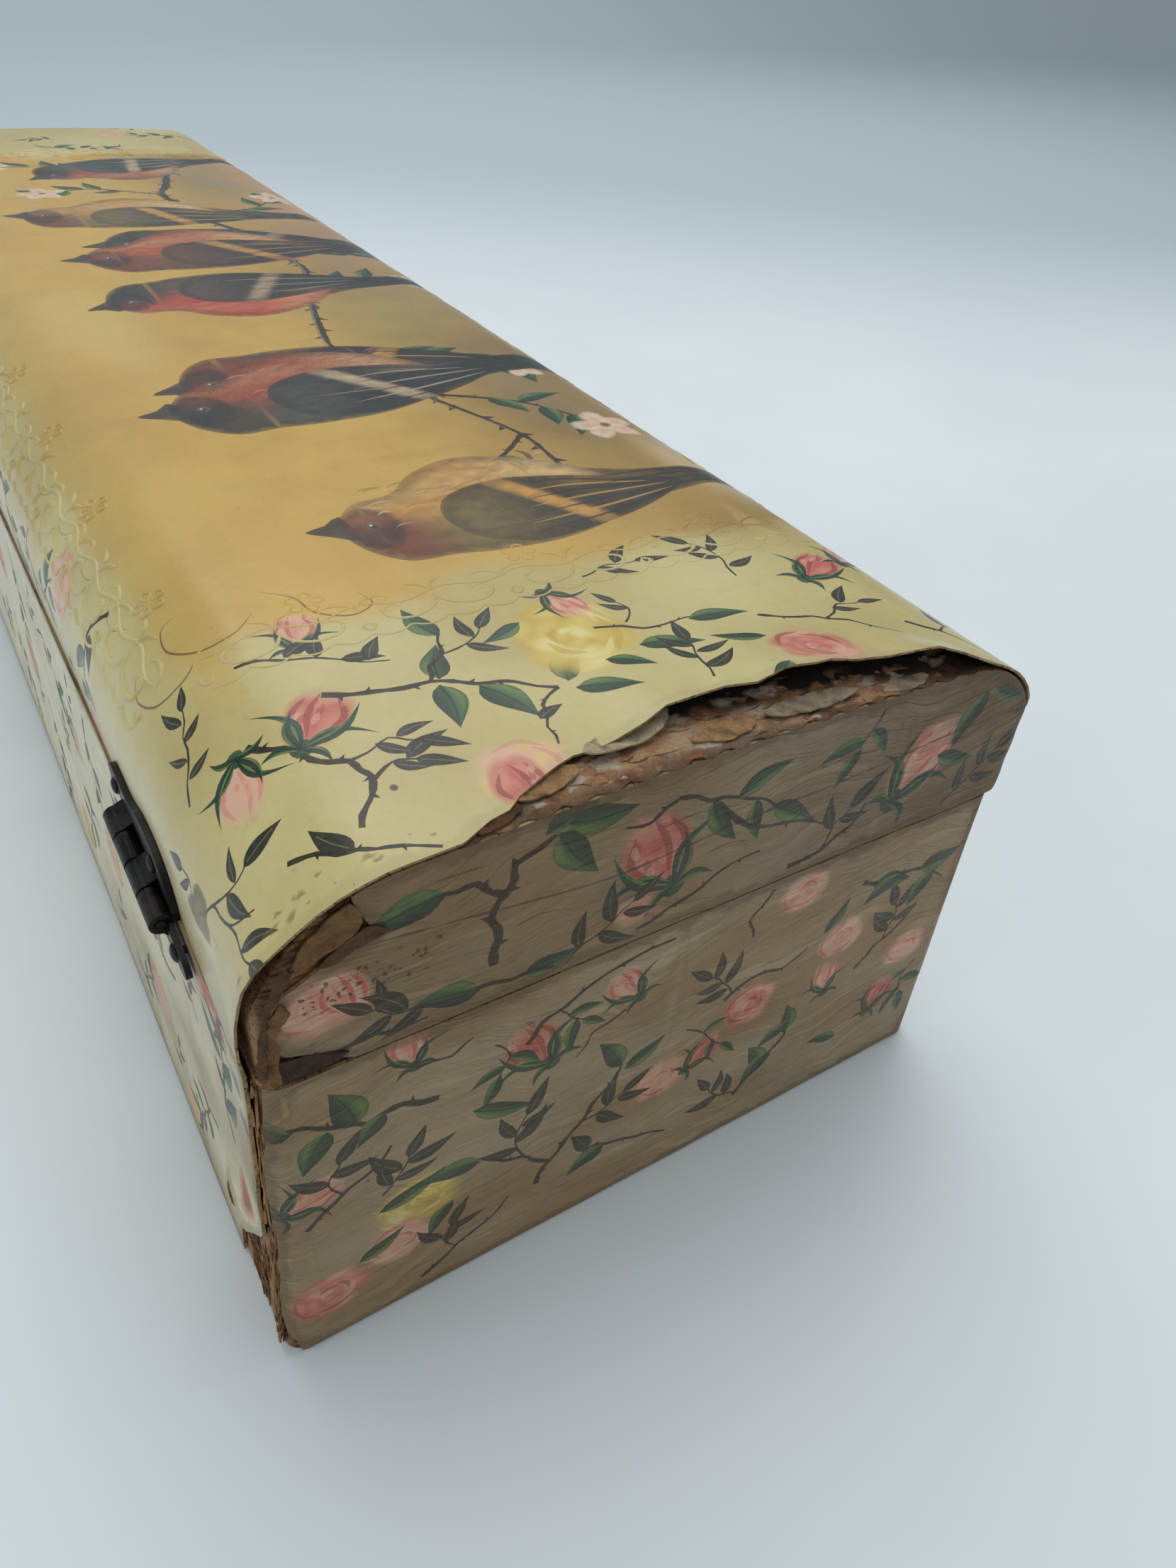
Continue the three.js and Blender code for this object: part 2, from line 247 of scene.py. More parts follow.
def twig(points, width=0.9, taper=0.4, thorns=True, seed=1, ink="twig"):
    width *= 0.76
    rng = random.Random(seed)
    jointed = [points[0]]
    for a, b in zip(points, points[1:]):
        reach = math.dist(a, b)
        if reach > 2.5:
            off = rng.choice([-1, 1]) * rng.uniform(0.25, 0.6) * min(1, reach / 6)
            share = rng.uniform(0.4, 0.6)
            jointed.append((a[0] + (b[0] - a[0]) * share - (b[1] - a[1]) / reach * off,
                            a[1] + (b[1] - a[1]) * share + (b[0] - a[0]) / reach * off))
        jointed.append(b)
    path = smoothPath(jointed, 1.0)
    count = len(path)
    wave = np.array([rng.uniform(0.75, 1.25) for i in range(count)])
    halves = np.linspace(width, width * taper, count) / 2 * wave
    marks = [{"outline": ribbonOutline(path, halves), "paint": plainPaint(inks[ink], 1.0)}]
    if thorns:
        sides = normalsOf(path)
        at, side = rng.uniform(2, 4), rng.choice([-1, 1])
        while at < count - 2:
            i = int(at)
            along = path[i + 1] - path[i]
            along /= np.linalg.norm(along)
            tip = path[i] + sides[i] * side * (halves[i] + 0.75 * width) + along * 0.5 * width
            marks.append({"outline": np.array([
                path[i] - along * 0.45 * width, path[i] + along * 0.45 * width, tip]),
                "paint": plainPaint(inks[ink], 1.0)})
            at += rng.uniform(3.0, 6.0)
            side = -side
    return marks


def leafHalf(t, width):
    # widest near the stalk, with a drawn-out tip
    t = np.clip(t, 0, 1)
    return width / 2 * np.sin(math.pi * t ** 0.72) ** 1.05 * (1.08 - 0.25 * t)


def leafShape(length, width, bend, steps=9):
    t = np.linspace(0, 1, steps + 1)
    half = leafHalf(t, width)
    middle = bend * length * np.sin(math.pi * t) * 0.5
    top = np.stack([t * length, middle + half], 1)
    low = np.stack([t * length, middle - half], 1)
    return np.concatenate([top, low[-2:0:-1]]), np.stack([t * length, middle], 1)


def leaf(u, v, angle, length=5.0, width=2.0, kind="dark", bend=0.12):
    angle = math.radians(angle)
    outline, rib = leafShape(length, width, bend)
    if kind == "dark":
        vein = ribbonOutline(rib[1:-2], np.full(len(rib) - 3, 0.07))
        return [
            {"outline": turned(outline, angle, (u, v)), "paint": plainPaint(inks["darkLeaf"], 1.0)},
            {"outline": turned(vein, angle, (u, v)), "paint": plainPaint(linear(150, 146, 112), 0.4)},
        ]

    def paint(pu, pv):
        a, b = localOf(pu, pv, angle, (u, v))
        t = np.clip(a / length, 0, 1)
        half = np.maximum(leafHalf(t, width), 0.2)
        across = np.clip((b - bend * length * np.sin(math.pi * t) * 0.5) / half, -1, 1)
        rgb = mix(inks["leafShade"], inks["leafMid"], smooth(-0.9, 0.4, across))
        rgb = mix(rgb, inks["leafLight"], smooth(0.1, 0.8, across) * smooth(0.95, 0.3, t) * 0.75)
        rgb = mix(rgb, inks["leafShade"], smooth(0.78, 1.0, np.abs(across)) * 0.6 + 0.25 * smooth(0.25, 0, t))
        return rgb, np.full(len(pu), 0.96)

    inner, ignored = leafShape(length * 0.94, width * 0.6, bend)
    veinLine = ribbonOutline(rib[:-1], np.linspace(0.16, 0.05, len(rib) - 1))
    return [
        {"outline": turned(outline, angle, (u, v)), "paint": paint,
         "guides": [turned(inner, angle, (u, v)), turned(rib, angle, (u, v))]},
        {"outline": turned(veinLine, angle, (u, v)), "paint": plainPaint(inks["leafShade"], 0.85)},
    ]


def softBlob(u, v, radii, angle, paintOf, wobble=0.0, seed=0, steps=16, rings=(0.78, 0.45)):
    # a star-shaped patch with shading that follows its distance from the middle
    angle = math.radians(angle)
    turn = np.arange(steps) * 2 * math.pi / steps

    def reach(theta):
        return 1 + wobble * (np.sin(3 * theta + seed) + 0.6 * np.sin(5 * theta + 2.1 * seed)) / 1.6

    def ring(share):
        r = reach(turn) * share
        return turned(np.stack([radii[0] * r * np.cos(turn), radii[1] * r * np.sin(turn)], 1), angle, (u, v))

    def paint(pu, pv):
        a, b = localOf(pu, pv, angle, (u, v))
        a, b = a / radii[0], b / radii[1]
        theta = np.arctan2(b, a)
        t = np.hypot(a, b) / reach(theta)
        return paintOf(np.clip(t, 0, 1), theta, a, b)

    return [{"outline": ring(1.0), "paint": paint, "guides": [ring(r) for r in rings] + [turned([(0, 0)], 0, (u, v))]}]


def petalPaint(inner, outer, strength=0.9, rim=0.55, softness=0.4):
    def paintOf(t, theta, a, b):
        rgb = mix(inner, outer, smooth(0.1, 0.95, t + 0.25 * a))
        return rgb, strength * (1 - smooth(1 - softness, 1.0, t) * (1 - rim))
    return paintOf


def stroke(points, width, colour, strength=0.8):
    path = smoothPath(points, 0.8)
    t = np.linspace(0, 1, len(path))
    halves = np.maximum(width / 2 * np.sin(math.pi * t) ** 0.7, 0.02)
    return [{"outline": ribbonOutline(path, halves), "paint": plainPaint(colour, strength, 0.05)}]


tints = {
    "red": ("red", "pink", "deepRed"),
    "pink": ("pink", "blush", "red"),
    "pale": ("blush", "blush", "pink"),
    "yellow": ("deepYellow", "yellow", "deepYellow"),
    "peach": ("yellow", "blush", "pink"),
}


def inLocal(points, angle, at):
    return turned(points, math.radians(angle), at)


def bud(u, v, angle, size=8.0, tint="red", seed=1, stem=True):
    # angle points from the stalk to the bud's tip
    core, skin, line = (inks[name] for name in tints[tint])
    at = (u, v)
    marks = []
    centre = inLocal([(size * 0.52, 0)], angle, at)[0]
    marks += softBlob(*centre, (size * 0.52, size * 0.36), angle, petalPaint(core, skin, 0.85, 0.0, 0.5), 0.08, seed)
    for side in (-1, 1):
        middle = inLocal([(size * 0.45, side * size * 0.14)], angle, at)[0]
        marks += softBlob(*middle, (size * 0.42, size * 0.19), angle + side * 9,
                          petalPaint(skin, core, 0.8, 0.15, 0.45), 0.06, seed + side)
    for a0, a1, b0, b1, bow in ((0.2, 0.9, 0.0, 0.08, 0.1), (0.25, 0.8, 0.16, 0.2, 0.09), (0.3, 0.85, -0.14, -0.1, -0.1)):
        line3 = [(a0 * size, b0 * size), ((a0 + a1) / 2 * size, (b0 + bow) * size), (a1 * size, b1 * size)]
        marks += stroke(inLocal(line3, angle, at), size * 0.07, line, 0.7)
    rng = random.Random(seed)
    for i in range(7):
        a, b = rng.uniform(0.3, 0.8) * size, rng.uniform(-0.22, 0.22) * size
        reach = rng.uniform(0.12, 0.24) * size
        marks += stroke(inLocal([(a, b), (a + reach / 2, b * 1.02), (a + reach, b * 0.85)], angle, at), size * 0.075,
                        (skin, line, inks["blush"])[i % 3], 0.5)
    if stem:
        marks += softBlob(*inLocal([(size * 0.06, 0)], angle, at)[0], (size * 0.13, size * 0.12), angle,
                          petalPaint(inks["leafMid"], inks["leafShade"], 0.95, 0.9, 0.2), 0.05, seed, 12, (0.6,))
        for spread, reach, bow in ((58, 0.78, -0.5), (-62, 0.72, 0.5), (26, 0.6, 0.3), (-22, 0.85, -0.3),
                                   (118, 0.4, -0.4), (-112, 0.36, 0.4)):
            marks += leaf(*inLocal([(size * 0.04, 0)], angle, at)[0], angle + spread, size * reach, size * 0.105,
                          "green", bow)
    return marks


def rose(u, v, size=10.0, tint="pink", angle=0.0, seed=1):
    core, skin, line = (inks[name] for name in tints[tint])
    rng = random.Random(seed)
    pale = linear(238, 222, 150) if tint == "yellow" else inks["blush"]
    marks = softBlob(u, v, (size * 0.6, size * 0.52), angle, petalPaint(skin, skin, 0.55, 0.0, 0.7), 0.14, seed)
    for ring, count, far, big in ((0, 6, 0.32, 0.24), (1, 5, 0.2, 0.2), (2, 3, 0.08, 0.15)):
        for i in range(count):
            turn = math.radians(angle + ring * 31 + i * 360 / count + rng.uniform(-14, 14))
            at = (u + size * far * math.cos(turn), v + size * far * 0.88 * math.sin(turn))
            inner, outer = (core, skin) if rng.random() < 0.55 + 0.15 * ring else (skin, pale)
            marks += softBlob(*at, (size * big, size * big * 0.66), math.degrees(turn) + 90 + rng.uniform(-18, 18),
                              petalPaint(outer, inner, 0.8, 0.12, 0.5), 0.12, seed + i, 11, (0.6,))
    for i in range(6):
        turn = angle + i * 67 + rng.uniform(-14, 14)
        far = size * (0.09 + 0.065 * i)
        arc = [(far * math.cos(math.radians(turn + k)), far * 0.86 * math.sin(math.radians(turn + k)))
               for k in (-44, 0, 44)]
        marks += stroke(np.array(arc) + (u, v), size * 0.06, line if i % 3 else pale, 0.6)
    return marks


def sprig(points, leaves=5, size=4.0, kind="dark", seed=1, width=0.45):
    # a thin stem with leaves on both sides and one at the tip
    rng = random.Random(seed)
    path = smoothPath(points, 0.8)
    marks = twig(points, width, 0.5, False, seed)
    for i in range(leaves):
        share = 1.0 if i == 0 else 1 - i / (leaves + 0.6)
        k = min(int(share * (len(path) - 1)), len(path) - 2)
        along = path[k + 1] - path[k]
        turn = math.degrees(math.atan2(along[1], along[0]))
        side = 0 if i == 0 else (1 if i % 2 else -1)
        grow = size * rng.uniform(0.8, 1.15)
        marks += leaf(*path[k], turn + side * rng.uniform(38, 62), grow * 1.15, grow * rng.uniform(0.34, 0.42), kind,
                      0.15 * side)
    return marks


def spray(u, v, angle, length=24.0, tint="red", seed=1, flower="bud"):
    # a thorny twig with leaves and a flower at its tip
    rng = random.Random(seed)
    bow = rng.choice([-1, 1]) * rng.uniform(0.08, 0.2) * length
    line = [(0, 0), (length * 0.3, bow), (length * 0.62, bow * 0.4), (length, -bow * 0.3)]
    marks = twig(inLocal(line, angle, (u, v)), 1.0, 0.5, True, seed)
    for share, side in ((0.28, 1), (0.45, -1), (0.66, 1), (0.8, -1)):
        at = inLocal([(length * share, bow * (1 - share))], angle, (u, v))[0]
        kind = rng.choice(["green", "green", "dark"])
        size = rng.uniform(5.0, 7.5) if kind == "green" else rng.uniform(4, 5.5)
        marks += leaf(*at, angle + side * rng.uniform(35, 60), size, size * 0.46, kind, 0.15 * side)
    tip = inLocal([line[-1]], angle, (u, v))[0]
    if flower == "bud":
        marks += bud(*tip, angle + rng.uniform(-20, 20), rng.uniform(7.5, 9.5), tint, seed)
    else:
        marks += rose(*inLocal([(length + 3.5, 0)], angle, (u, v))[0], rng.uniform(9, 12), tint, angle, seed)
    return marks


def strewn(uRange, vRange, pitch, seed):
    # sprays and sprigs set out in staggered rows, for the sides that are plainer
    rng = random.Random(seed)
    marks = []
    rows = max(1, round((vRange[1] - vRange[0]) / pitch))
    columns = max(1, round((uRange[1] - uRange[0]) / (pitch * 1.5)))
    for row in range(rows):
        for column in range(columns):
            u = uRange[0] + (column + 0.5 + 0.25 * (-1) ** row) * (uRange[1] - uRange[0]) / columns
            v = vRange[0] + (row + 0.5) * (vRange[1] - vRange[0]) / rows + rng.uniform(-2, 2)
            turn = rng.choice([20, 200, 150, -30, 75, 255]) + rng.uniform(-15, 15)
            start = (u - 9 * math.cos(math.radians(turn)), v - 9 * math.sin(math.radians(turn)))
            tint = rng.choice(["red", "pink", "pink", "peach", "yellow"])
            marks += spray(*start, turn, rng.uniform(14, 19), tint, rng.randrange(9999), rng.choice(["bud", "rose"]))
            side = (u + rng.uniform(10, 14), v + rng.uniform(-8, 8))
            line = [side, (side[0] + 2, side[1] + 4), (side[0] + 1, side[1] + 8)]
            marks += sprig(line, rng.choice([3, 5]), 3.6, "dark", rng.randrange(9999))
    return marks


# Printing and bending a sheet

def inside(points, outline):
    x, y = points[:, 0], points[:, 1]
    hit = np.zeros(len(points), bool)
    for (x0, y0), (x1, y1) in zip(outline, np.roll(outline, -1, 0)):
        cross = (y0 > y) != (y1 > y)
        with np.errstate(divide="ignore", invalid="ignore"):
            at = (x1 - x0) * (y - y0) / (y1 - y0) + x0
        hit ^= cross & (x < at)
    return hit


def edgeDistance(points, outline):
    best = np.full(len(points), 1e9)
    outline = np.asarray(outline)[::2] if len(outline) > 600 else outline
    for a, b in zip(outline, np.roll(outline, -1, 0)):
        along = b - a
        t = np.clip(((points - a) @ along) / max(along @ along, 1e-12), 0, 1)
        best = np.minimum(best, np.linalg.norm(points - (a + t[:, None] * along), axis=1))
    return best


def clipped(polygon, axis, limit, keepAbove):
    # the part of an outline on one side of a straight cut
    out = []
    sign = 1 if keepAbove else -1
    for a, b in zip(polygon, np.roll(polygon, -1, 0)):
        da, db = sign * (a[axis] - limit), sign * (b[axis] - limit)
        if da >= 0:
            out.append(a)
        if (da > 0 and db < 0) or (da < 0 and db > 0):
            out.append(a + (b - a) * da / (da - db))
    return np.array(out) if len(out) > 2 else None


def turnedLeft(ring):
    # outlines run counter-clockwise, or the triangulation takes their outside
    ring = np.asarray(ring, float)
    x, y = ring[:, 0], ring[:, 1]
    return ring if np.sum(x * np.roll(y, -1) - y * np.roll(x, -1)) > 0 else ring[::-1]


def triangulateCell(outline, marks, lines, dots):
    points, edges, faces = [], [], []

    def addRing(ring, closed, asFace):
        start = len(points)
        points.extend(map(tuple, ring))
        count = len(ring)
        if asFace:
            faces.append(list(range(start, start + count)))
        elif count > 1:
            edges.extend((start + i, start + i + 1) for i in range(count - 1))
            if closed:
                edges.append((start + count - 1, start))

    addRing(turnedLeft(outline), True, True)
    for mark in marks:
        addRing(turnedLeft(mark["outline"]), True, True)
    for mark in marks:
        for guide in mark.get("guides", ()):
            addRing(guide, len(guide) > 4 and mark.get("closedGuides", True), False)
    for line in lines:
        addRing(line, False, False)
    for dot in dots:
        points.append(tuple(dot))
    verts, ignored, tris, ignored2, ignored3, owners = geometry.delaunay_2d_cdt(
        [Vector(p) for p in points], edges, faces, 1, 1e-4, True)
    keep = [(tri, own) for tri, own in zip(tris, owners) if 0 in own and len(tri) == 3]
    flat = np.array([(p.x, p.y) for p in verts])
    return flat, [tri for tri, own in keep], [own for tri, own in keep]


def stitched(cell, cutsAcross, cutsAlong, step):
    # more points along the cuts, in the same places for both of the cells that meet there
    out = []
    for a, b in zip(cell, np.roll(cell, -1, 0)):
        out.append(a)
        for axis, cuts in ((0, cutsAcross), (1, cutsAlong)):
            if not any(abs(a[axis] - cut) < 1e-6 and abs(b[axis] - cut) < 1e-6 for cut in cuts):
                continue
            low, high = sorted((a[1 - axis], b[1 - axis]))
            stops = [k * step for k in range(math.ceil(low / step), math.floor(high / step) + 1)]
            stops = [stop for stop in stops if low + 0.05 < stop < high - 0.05]
            for stop in stops if a[1 - axis] < b[1 - axis] else reversed(stops):
                out.append(np.array([a[0], stop] if axis == 0 else [stop, a[1]]))
    return np.array(out)


def triangulate(outline, marks, lines, dots, pitch=26.0, stitch=None):
    # the sheet is drawn cell by cell, which is far quicker, and the cells share the points along their cuts
    outline = np.asarray(outline, float)
    dots = np.asarray(dots, float).reshape(-1, 2)
    low, high = outline.min(0), outline.max(0)
    counts = np.maximum(1, np.round((high - low) / pitch).astype(int))
    cuts = [np.linspace(low[axis], high[axis], counts[axis] + 1) + 0.0137 * axis for axis in (0, 1)]
    spans = np.array([(*np.min(mark["outline"], 0), *np.max(mark["outline"], 0)) for mark in marks]).reshape(-1, 4)
    lineSpans = np.array([(*np.min(line, 0), *np.max(line, 0)) for line in lines]).reshape(-1, 4)
    points, index, tris, owners = [], {}, [], []

    def meeting(boxes, a, b):
        hit = (boxes[:, 2] >= a[0] - 0.01) & (boxes[:, 0] <= b[0] + 0.01)
        return np.flatnonzero(hit & (boxes[:, 3] >= a[1] - 0.01) & (boxes[:, 1] <= b[1] + 0.01))

    for i in range(counts[0]):
        strip = outline if i == 0 else clipped(outline, 0, cuts[0][i], True)
        strip = strip if i == counts[0] - 1 or strip is None else clipped(strip, 0, cuts[0][i + 1], False)
        for j in range(counts[1]):
            if strip is None:
                continue
            cell = strip if j == 0 else clipped(strip, 1, cuts[1][j], True)
            cell = cell if j == counts[1] - 1 or cell is None else clipped(cell, 1, cuts[1][j + 1], False)
            if cell is None:
                continue
            if stitch:
                across = ([cuts[0][i]] if i else []) + ([cuts[0][i + 1]] if i < counts[0] - 1 else [])
                along = ([cuts[1][j]] if j else []) + ([cuts[1][j + 1]] if j < counts[1] - 1 else [])
                cell = stitched(cell, across, along, stitch)
            a, b = cell.min(0), cell.max(0)
            chosen = meeting(spans, a, b)
            near = [lines[k] for k in meeting(lineSpans, a, b)]
            within = dots[np.all((dots > a + 0.05) & (dots < b - 0.05), axis=1)]
            flat, cellTris, own = triangulateCell(cell, [marks[k] for k in chosen], near, within)
            names = {}
            for n in sorted({n for tri in cellTris for n in tri}):
                p = flat[n]
                key = (round(p[0], 3), round(p[1], 3))
                if key not in index:
                    index[key] = len(points)
                    points.append(p)
                names[n] = index[key]
            for tri, covers in zip(cellTris, own):
                corners = [names[n] for n in tri]
                if len(set(corners)) == 3:
                    tris.append(corners)
                    owners.append([0 if n == 0 else chosen[n - 1] + 1 for n in covers])
    return np.array(points), np.array(tris), owners


def boundaryLoops(tris):
    follow = {}
    seen = {(a, b) for tri in tris for a, b in ((tri[0], tri[1]), (tri[1], tri[2]), (tri[2], tri[0]))}
    for a, b in seen:
        if (b, a) not in seen:
            follow[a] = b
    loops = []
    while follow:
        start, at = next(iter(follow.items()))
        loop = [start]
        del follow[start]
        while at != start and at in follow:
            loop.append(at)
            at = follow.pop(at)
        loops.append(loop)
    return loops


def surfaceNormals(place, lift, u, v):
    step = 0.05
    du = place(u + step, v, lift(u + step, v)) - place(u - step, v, lift(u - step, v))
    dv = place(u, v + step, lift(u, v + step)) - place(u, v - step, lift(u, v - step))
    n = np.cross(du, dv)
    return n / np.maximum(np.linalg.norm(n, axis=1), 1e-12)[:, None]


def printedSheet(name, body, outline, marks, place, tone, materials, lines=(), dots=(), lift=None,
                 thickness=None, replaces=None, underDots=()):
    # outline and marks are flat, in millimetres; the sheet ends as a closed thin solid
    lift = lift or (lambda u, v: 0 * u)
    thickness = boxShape["sheet"] if thickness is None else thickness
    outline = np.asarray(outline, float)
    flat, tris, owners = triangulate(outline, marks, lines, dots)
    area = np.cross(flat[tris[:, 1]] - flat[tris[:, 0]], flat[tris[:, 2]] - flat[tris[:, 0]])
    good = np.abs(area) > 1e-7
    single = np.zeros(len(tris), bool)
    single[np.unique(np.sort(tris, axis=1), axis=0, return_index=True)[1]] = True
    good &= single
    tris, owners, area = tris[good], [own for own, ok in zip(owners, good) if ok], area[good]
    tris[area < 0] = tris[area < 0][:, ::-1]
    u, v = flat[:, 0], flat[:, 1]
    top = place(u, v, lift(u, v))
    normals = surfaceNormals(place, lift, u, v)
    # the side that faces out: away from the sheet's own underside
    under = place(u, v, lift(u, v) - 0.1)
    if np.mean(np.sum((top - under) * normals, 1)) < 0:
        normals = -normals
    facing = np.cross(top[tris[:, 1]] - top[tris[:, 0]], top[tris[:, 2]] - top[tris[:, 0]])
    if np.sum(facing * normals[tris[:, 0]]) < 0:
        tris = tris[:, ::-1].copy()
    # the print, laid down mark by mark
    corners = tris.reshape(-1)
    rgb = np.zeros((len(corners), 3))
    alpha = np.zeros(len(corners))
    covered = {}
    for i, own in enumerate(owners):
        for k in own:
            covered.setdefault(k, []).append(i)
    for k in sorted(covered):
        if k == 0:
            continue
        rows = np.array(covered[k])
        at = (rows[:, None] * 3 + np.arange(3)).reshape(-1)
        colour, strength = marks[k - 1]["paint"](u[corners[at]], v[corners[at]])
        strength = np.clip(strength, 0, 1)
        left = alpha[at] * (1 - strength)
        total = strength + left
        rgb[at] = (colour * strength[:, None] + rgb[at] * left[:, None]) / np.maximum(total, 1e-6)[:, None]
        alpha[at] = total
    # the underside has the same rim and its own coarser triangles
    loops = boundaryLoops(tris.tolist())
    loops.sort(key=len, reverse=True)
    rim = loops[0]
    low, high = flat[rim].min(0), flat[rim].max(0)
    grid = [(a, b) for a in np.arange(low[0] + 4, high[0] - 2, 7.0) for b in np.arange(low[1] + 2, high[1] - 1, 2.6)]
    grid = np.array(grid + list(underDots))
    if len(grid):
        grid = grid[inside(grid, flat[rim]) & (edgeDistance(grid, flat[rim]) > 1.2)]
    lowFlat, lowTris, ignored = triangulate(flat[rim], [], [], grid, stitch=2.5 if len(underDots) else None)
    lu, lv = lowFlat[:, 0], lowFlat[:, 1]
    lowPoints = place(lu, lv, lift(lu, lv) - thickness)
    lowFacing = np.cross(lowPoints[lowTris[:, 1]] - lowPoints[lowTris[:, 0]],
                         lowPoints[lowTris[:, 2]] - lowPoints[lowTris[:, 0]])
    lowNormals = surfaceNormals(place, lift, lu, lv)
    underLow = place(lu, lv, lift(lu, lv) - thickness - 0.1)
    if np.mean(np.sum((underLow - lowPoints) * lowNormals, 1)) < 0:
        lowNormals = -lowNormals
    if np.sum(lowFacing * lowNormals[lowTris[:, 0]]) < 0:
        lowTris = lowTris[:, ::-1].copy()
    count = len(top)
    # the rim's underside points are the first ones given, so each wall joins the same places
    find = {tuple(np.round(p, 4)): i for i, p in enumerate(lowFlat)}
    walls, wallNormals = [], []
    for a, b in zip(rim, rim[1:] + rim[:1]):
        la, lb = find[tuple(np.round(flat[a], 4))], find[tuple(np.round(flat[b], 4))]
        walls.append((a, la + count, lb + count, b))
        wallNormals.append(np.cross(lowPoints[la] - top[a], top[b] - top[a]))
    allPoints = np.concatenate([top, lowPoints]) * mm
    faceList = tris.tolist() + (lowTris + count).tolist() + walls
    mesh = bpy.data.meshes.new(name)
    mesh.from_pydata(allPoints, [], faceList)
    loopNormals = np.concatenate([
        normals[corners], lowNormals[lowTris.reshape(-1)],
        np.repeat(np.array(wallNormals), 4, axis=0)])
    loopNormals /= np.maximum(np.linalg.norm(loopNormals, axis=1), 1e-12)[:, None]
    printLayer = mesh.color_attributes.new("print", "FLOAT_COLOR", "CORNER")
    values = np.zeros((len(loopNormals), 4), np.float32)
    values[:len(corners), :3] = rgb
    values[:len(corners), 3] = alpha
    printLayer.data.foreach_set("color", values.reshape(-1))
    allFlat = np.concatenate([flat, lowFlat])
    tones = np.ones((len(allFlat), 4), np.float32)
    tones[:, :3] = tone(allFlat[:, 0], allFlat[:, 1])
    toneLayer = mesh.color_attributes.new("tone", "FLOAT_COLOR", "POINT")
    toneLayer.data.foreach_set("color", tones.reshape(-1))
    spots = np.zeros((len(allFlat), 3), np.float32)
    spots[:, :2] = allFlat
    mesh.attributes.new("flat", "FLOAT_VECTOR", "POINT").data.foreach_set("vector", spots.reshape(-1))
    edge = np.clip(edgeDistance(allFlat, flat[rim]), 0, 12).astype(np.float32)
    mesh.attributes.new("edge", "FLOAT", "POINT").data.foreach_set("value", edge)
    for material in materials:
        mesh.materials.append(material)
    index = np.zeros(len(faceList), np.int32)
    index[len(tris):] = 1
    mesh.polygons.foreach_set("material_index", index)
    mesh.shade_smooth()
    mesh.normals_split_custom_set(loopNormals)
    piece = bpy.data.objects.new(name, mesh)
    bpy.context.scene.collection.objects.link(piece)
    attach(piece, body)
    if replaces:
        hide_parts(replaces)
    print(f"{name}: {len(faceList)} faces")
    return piece


# Shader groups and materials

def nodeGroup(name, inputs, outputs):
    group = bpy.data.node_groups.new(name, "ShaderNodeTree")
    for label, kind, value in inputs:
        socket = group.interface.new_socket(label, in_out="INPUT", socket_type=kind)
        if value is not None:
            socket.default_value = value
    for label, kind in outputs:
        group.interface.new_socket(label, in_out="OUTPUT", socket_type=kind)
    return group, group.nodes.new("NodeGroupInput"), group.nodes.new("NodeGroupOutput")


def wire(tree, value, socket):
    if isinstance(value, bpy.types.NodeSocket):
        tree.links.new(value, socket)
    elif value is not None:
        socket.default_value = value


def mathNode(tree, operation, a, b=None, c=None, clamp=False):
    node = tree.nodes.new("ShaderNodeMath")
    node.operation, node.use_clamp = operation, clamp
    for value, socket in zip((a, b, c), node.inputs):
        wire(tree, value, socket)
    return node.outputs[0]


def ramp(tree, value, low, high, toLow=0.0, toHigh=1.0):
    node = tree.nodes.new("ShaderNodeMapRange")
    node.interpolation_type = "SMOOTHSTEP"
    for socket, number in zip(node.inputs, (value, low, high, toLow, toHigh)):
        wire(tree, number, socket)
    return node.outputs[0]


def mixColour(tree, share, a, b, kind="MIX"):
    node = tree.nodes.new("ShaderNodeMix")
    node.data_type, node.blend_type = "RGBA", kind
    wire(tree, share, node.inputs[0])
    wire(tree, a, node.inputs[6])
    wire(tree, b, node.inputs[7])
    return node.outputs[2]


def noise(tree, vector, scale, detail=3.0, rough=0.55, distortion=0.0):
    node = tree.nodes.new("ShaderNodeTexNoise")
    wire(tree, vector, node.inputs["Vector"])
    for label, value in (("Scale", scale), ("Detail", detail), ("Roughness", rough), ("Distortion", distortion)):
        wire(tree, value, node.inputs[label])
    return node.outputs["Fac"]


def stretched(tree, vector, scale):
    node = tree.nodes.new("ShaderNodeMapping")
    wire(tree, vector, node.inputs["Vector"])
    node.inputs["Scale"].default_value = scale
    return node.outputs[0]


def rgba(colour):
    return (*[float(c) for c in colour], 1.0)


